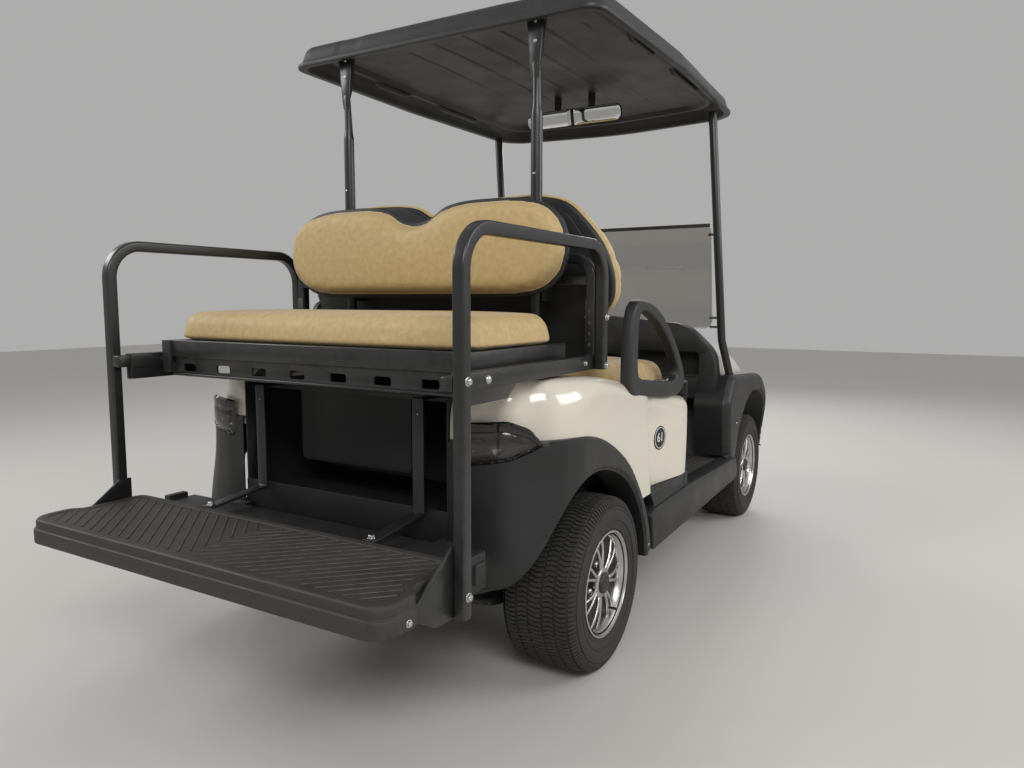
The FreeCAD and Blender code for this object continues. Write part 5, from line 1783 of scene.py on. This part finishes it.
def sewSeam(pad, name, path, depth, reach, pipe):
    # The cover draws in along the path, and a thin welt lies in the groove
    surface = BVHTree.FromPolygons([v.co for v in pad.data.vertices],
                                   [p.vertices[:] for p in pad.data.polygons])
    run = []
    for point in path:
        place, normal, index, gap = surface.find_nearest(point)
        run.append((place, normal))
    near = KDTree(len(run))
    for index, (place, normal) in enumerate(run):
        near.insert(place, index)
    near.balance()
    for v in pad.data.vertices:
        place, index, gap = near.find(v.co)
        if gap < reach:
            v.co -= run[index][1] * depth * (1 - (gap / reach) ** 2)
    loop = [place - normal * depth * 0.4 for place, normal in run]
    welt = growNodes(name, edgeMesh(name, [loop + [loop[0]]]), stripTree,
                     {"Width": pipe, "Height": pipe * 0.5, "Material": welting}, 60)
    return joined(pad.name + "Sewn", [pad, welt])


def seatPlan(half, front, rear, corner):
    return roundCorners(rectangle(-half, front, half, rear, corner), 8)


def shellPiece(name, outline, place, low, high):
    # A smooth plate with rounded edges in a pad's own frame
    rows = []
    for inset, height in ((9, low), (3, low + 1.5), (0, low + 5), (0, high - 2), (2, high)):
        rows.append([place(p, height) for p in offsetLoop(outline, inset)])
    piece = cappedPiece(name, rows, backing)
    shade(piece, 60)
    return piece


def rearSeat(p, h):
    return spot(p.x, p.y, 862 + h)


def frontSeat(p, h):
    slope = min(max((-112 - p.y) / 500, 0), 1)
    return spot(p.x, p.y, 720 - 14 * slope - 20 * slope ** 6 + h)


def rearBack(p, h):
    return spot(p.x, 40 + h, p.y)


def frontBack(p, h):
    lean = math.radians(-4.0)
    dy, dz = -14 - h, p.y - 900.0
    return spot(p.x, -122.0 + dy * math.cos(lean) - dz * math.sin(lean),
                900.0 + dy * math.sin(lean) + dz * math.cos(lean))


seatWelt = {"lift": 18, "depth": 0.0010, "reach": 0.006, "pipe": 0.0035}
backWelt = {"lift": 2, "depth": 0.0006, "reach": 0.005, "pipe": 0.0038}
cushionSizes = [
    {"name": "rearCushion", "outline": seatPlan(476, 84, 488, 60), "place": rearSeat,
     "face": (44, 60), "rear": (5, 4), "crown": 11, "cap": 0.004, "node": "rear_seat_cushion",
     "body": "flip_seat"},
    {"name": "frontCushion", "outline": seatPlan(528, -610, -116, 62), "place": frontSeat,
     "face": (44, 64), "rear": (14, 10), "crown": 12, "cap": 0.005, "node": "front_seat_cushion",
     "welt": seatWelt, "weltRun": densify(seatPlan(530, -612, -114, 62), 6)},
    {"name": "rearBackrest", "outline": backOutline(rearBackHalf), "place": rearBack,
     "face": (30, 37), "rear": (12, 12), "crown": 9, "cap": 0.005, "node": "rear_seat_back",
     "welt": backWelt, "weltRun": backOutline(rearBackHalf, -2)},
    {"name": "frontBackrest", "outline": backOutline(frontBackHalf), "place": frontBack,
     "face": (34, 48), "rear": (12, 12), "crown": 8, "cap": 0.005, "node": "front_seat_back",
     "welt": backWelt, "weltRun": backOutline(frontBackHalf, -2)}]


def makeCushions():
    for size in cushionSizes:
        place = size["place"]
        pad = makePad(size["name"], size["outline"], 12, size["face"], size["rear"], size["crown"],
                      place)
        pad = inflate(pad, size["cap"])
        if "welt" in size:
            welt = size["welt"]
            run = [place(p, welt["lift"]) for p in size["weltRun"]]
            name = size["name"].replace("rest", "") + "Welt"
            pad = sewSeam(pad, name, run, welt["depth"], welt["reach"], welt["pipe"])
        settle(pad, "tan_vinyl", size["node"], body=size.get("body", "cart"))
    # moulded backs: a rim round the rear pad and a cover over the front one
    rim = shellPiece("rearBackRim", backOutline(rearBackHalf, -4.5), rearBack, -13, 0)
    cover = shellPiece("frontBackCover", backOutline(frontBackHalf, 11), frontBack, -22, -8)
    settle(rim, "seat_backing")
    settle(cover, "seat_backing")
    softened("rear_seat_shell", 0.009, backing, "seat_backing", 60, 4)
    softened("front_seat_shell", 0.004, backing, "seat_backing", 60, 3)


makeCushions()
print("cushions made")


# Footboard: skirt in two tiers, raised border and chevron ribs
deckSizes = {"innerHalf": 516.0, "outerHalf": 541.0, "back": 566.0, "reach": 852.0, "points": 260,
             "ribGap": 24.0, "ribTop": 449.4}
deckProfile = [(8, 444), (8, 395), (1, 395), (0, 397), (0, 424), (1.2, 427), (3.5, 428.5),
               (4.5, 430), (4.5, 443), (6, 448), (9, 450.6), (13, 451), (24, 451), (26, 450.4),
               (27, 449)]


def deckRing(inset):
    inner = deckSizes["innerHalf"] - inset
    outer = deckSizes["outerHalf"] - inset
    rear = deckSizes["reach"] - inset
    half = [(inner, deckSizes["back"] + inset, max(30 - inset, 3)), (inner, 728), (outer, 752, 30),
            (outer, rear, 90 - inset)]
    return half + [(-p[0],) + tuple(p[1:]) for p in reversed(half)]


def makeDeck():
    count = deckSizes["points"]
    rings = []
    for inset, z in deckProfile:
        rings.append([spot(p.x, p.y, z) for p in resample(roundCorners(deckRing(inset), 4), count)])
    board = cappedPiece("deckBoard", rings, deckPlastic)
    shade(board, 30)
    field = roundCorners(deckRing(30), 6)
    runs = []
    offset = -40.0
    while offset < 1400:
        for side in (-1, 1):
            run = []
            for x in range(6, 520, 2):
                y = deckSizes["reach"] + 560 - offset - x
                if insideLoop(Vector((side * x, y)), field):
                    run.append(spot(side * x, y, deckSizes["ribTop"]))
            if len(run) > 6:
                runs.append([run[0], run[-1]])
        offset += deckSizes["ribGap"] * 1.414
    ribs = growNodes("deckRibs", edgeMesh("deckRibs", runs), stripTree,
                     {"Width": 0.0048, "Height": 0.0016, "Material": deckPlastic})
    settle(joined("footDeck", [board, ribs]), "deck_plastic", "footboard")


makeDeck()
print("footboard made")


# Bolts, washers and plugs
def boltItem():
    # A washer under a six-sided head with a rounded top, standing along +Z
    washer = lathePiece("washer", [(0, 0.1), (0, 9.5), (1.2, 9.5), (1.8, 8.9), (1.8, 0.1)], 24,
                        zinc)
    head = lathePiece("head", [(1.8, 0.1), (1.8, 7.4), (5.2, 7.4), (6.6, 6.4), (7.4, 4.4),
                               (7.6, 0.1)], 6, zinc)
    item = joined("boltItem", [washer, head])
    softenEdges(item, 0.0004, 2, 30)
    return moveMesh(item, Matrix.Rotation(math.radians(-90), 4, "Y"))


def domeItem():
    dome = lathePiece("domeItem", [(0, 0.1), (0, 9.5), (1.5, 9.6), (3.2, 8.8), (5.2, 6.6),
                                   (6.4, 3.4), (6.8, 0.1)], 24, zinc, False, 60)
    return moveMesh(dome, Matrix.Rotation(math.radians(-90), 4, "Y"))


left, right = Vector((1, 0, 0)), Vector((-1, 0, 0))
back, up = Vector((0, 1, 0)), Vector((0, 0, 1))
hexRows = [((553, -26, 920), left, 0.9), ((499, -26, 920), right, 0.8),
           ((553, -26, 797), left, 0.9), ((553, 612.5, 812), left, 1.0),
           ((553, 612.5, 399), left, 1.0), ((541, 780, 408), left, 0.8), ((262, 552, 451), up, 1.1),
           ((262, 381, 700), back, 0.8), ((526, 40, 805), left, 0.7),
           ((331, -39.5, 870), back, 0.8), ((331, -39.5, 1008), back, 0.8),
           ((331, -44.5, 1640), back, 0.55), ((331, -44.5, 1690), back, 0.55),
           ((331, -41, 1300), back, 0.5)]
domeRows = [((526, 500, 805), left, 1.0), ((590.5, -268, 262), left, 0.6),
            ((575, -1330, 470), left, 0.5)]


def makeHardware():
    for name, item, table in (("hexBolts", boltItem(), hexRows),
                              ("domeBolts", domeItem(), domeRows)):
        rows = []
        for place, facing, size in table:
            for side in (1, -1):
                way = Vector((facing.x * side, facing.y, facing.z))
                rows.append((spot(place[0] * side, place[1], place[2]), way, size))
        piece = growNodes(name, pointMesh(name, rows), hardwareTree,
                          {"Item": item, "Scale": 1.0, "Material": zinc}, 30)
        bpy.data.objects.remove(item)
        settle(piece, "bare_metal")


# Plain number badge on the side panel
badgeSizes = {"y": -435.0, "z": 546.0, "radius": 37.0, "figures": "61", "figureSize": 0.040,
              "figureDepth": 0.0006}


def makeBadge():
    radius = badgeSizes["radius"]
    disc = lathePiece("badgeDisc",
                      [(0, 0.1), (0, radius), (1.2, radius), (1.6, radius - 0.6), (1.6, 0.1)],
                      48, fenderPlastic)
    rim = lathePiece("badgeRim", [(1.5, radius - 6.5), (2.0, radius - 6.3), (2.0, radius - 4.2),
                                  (1.5, radius - 4.0)], 48, markWhite, True)
    curve = bpy.data.curves.new("badgeFigures", "FONT")
    curve.body = badgeSizes["figures"]
    curve.size = badgeSizes["figureSize"]
    curve.align_x = "CENTER"
    curve.align_y = "CENTER"
    curve.extrude = badgeSizes["figureDepth"]
    figures = bpy.data.objects.new("badgeFigures", curve)
    scene.collection.objects.link(figures)
    depsgraph = bpy.context.evaluated_depsgraph_get()
    flat = bpy.data.meshes.new_from_object(figures.evaluated_get(depsgraph))
    bpy.data.objects.remove(figures)
    mark = bpy.data.objects.new("badgeMark", flat)
    scene.collection.objects.link(mark)
    flat.materials.clear()
    flat.materials.append(markWhite)
    # the figures face +X and read along -Y
    moveMesh(mark, Matrix.Translation((0.0022, 0, 0))
             @ Matrix(((0, 0, 1, 0), (1, 0, 0, 0), (0, 1, 0, 0),
                                                                (0, 0, 0, 1))))
    badge = joined("sideBadge", [disc, rim, mark])
    shade(badge, 35)
    y, z = badgeSizes["y"], badgeSizes["z"]
    top = alongTable(topLine, y)
    place = spot(bodySizes["half"] - panelInset(y, z, top) - 0.2, y, z)
    turn = math.atan((panelInset(y + 30, z, top) - panelInset(y - 30, z, top)) / 60)
    twin = copyPiece(badge, "sideBadgeTwin", Matrix.Translation((-place.x, place.y, place.z))
                     @ Matrix.Rotation(math.pi - turn, 4, "Z"))
    moveMesh(badge, Matrix.Translation(place) @ Matrix.Rotation(turn, 4, "Z"))
    settle(joined("numberBadges", [badge, twin]), "black_plastic")


# Small parts of the seat kit and the floor
def makeSmallParts():
    # the arm's end shoe, a cap in the post's foot and a slotted plate over the front leg
    shoe = slabPiece("armShoe", "yz", rectangle(588, 790, 625, 820, 3), 500, 525.8, kitSteel)
    cap = slabPiece("footCap", "xy", rectangle(528, 601, 551, 624, 4), 352, 358, backing, 0.001)
    plate = slabPiece("legPlate", "xz", rectangle(500, 800, 524, 968, 3), -12.6, -10.6, kitSteel,
                      0.0006)
    settle(withMirror(joined("kitPlates", [shoe, cap, plate])), "kit_steel")
    # the plate's holes are not cut: a matte black disc on its face at each hole is painted shade
    # for the hole's dark inside
    holes = []
    for z in (822, 850, 878, 906, 934):
        hole = lathePiece("plateHole", [(0, 0.1), (0, 4.2), (0.3, 4.4), (0.5, 4.4), (0.5, 0.1)], 16,
                          caseBlackAndHoleShade)
        turn = Matrix.Rotation(math.pi / 2, 4, "Z")
        holes.append(moveMesh(hole, Matrix.Translation(spot(512, -10.5, z)) @ turn))
    settle(withMirror(joined("plateHoles", holes)), "kit_steel")
    trim = [slabPiece(name, "yz", outline, -446, 446, kitSteel, 0.0008)
            for name, outline in (("trayFlange", rectangle(498, 813, 509, 857.5, 2, 3)),
                                  ("trayLip", rectangle(498, 764, 508, 771, 2)))]
    settle(joined("trayTrim", trim), "kit_steel", body="flip_seat")
    mats = [[spot(x, -1240, 331), spot(x, -668, 331)] for x in range(-480, 481, 20)]
    mat = growNodes("matRibs", edgeMesh("matRibs", mats), stripTree,
                    {"Width": 0.007, "Height": 0.003, "Material": tyreRubber})
    settle(mat, "floor_rubber")


makeHardware()
makeBadge()
makeSmallParts()
print("hardware, badges and small parts made")
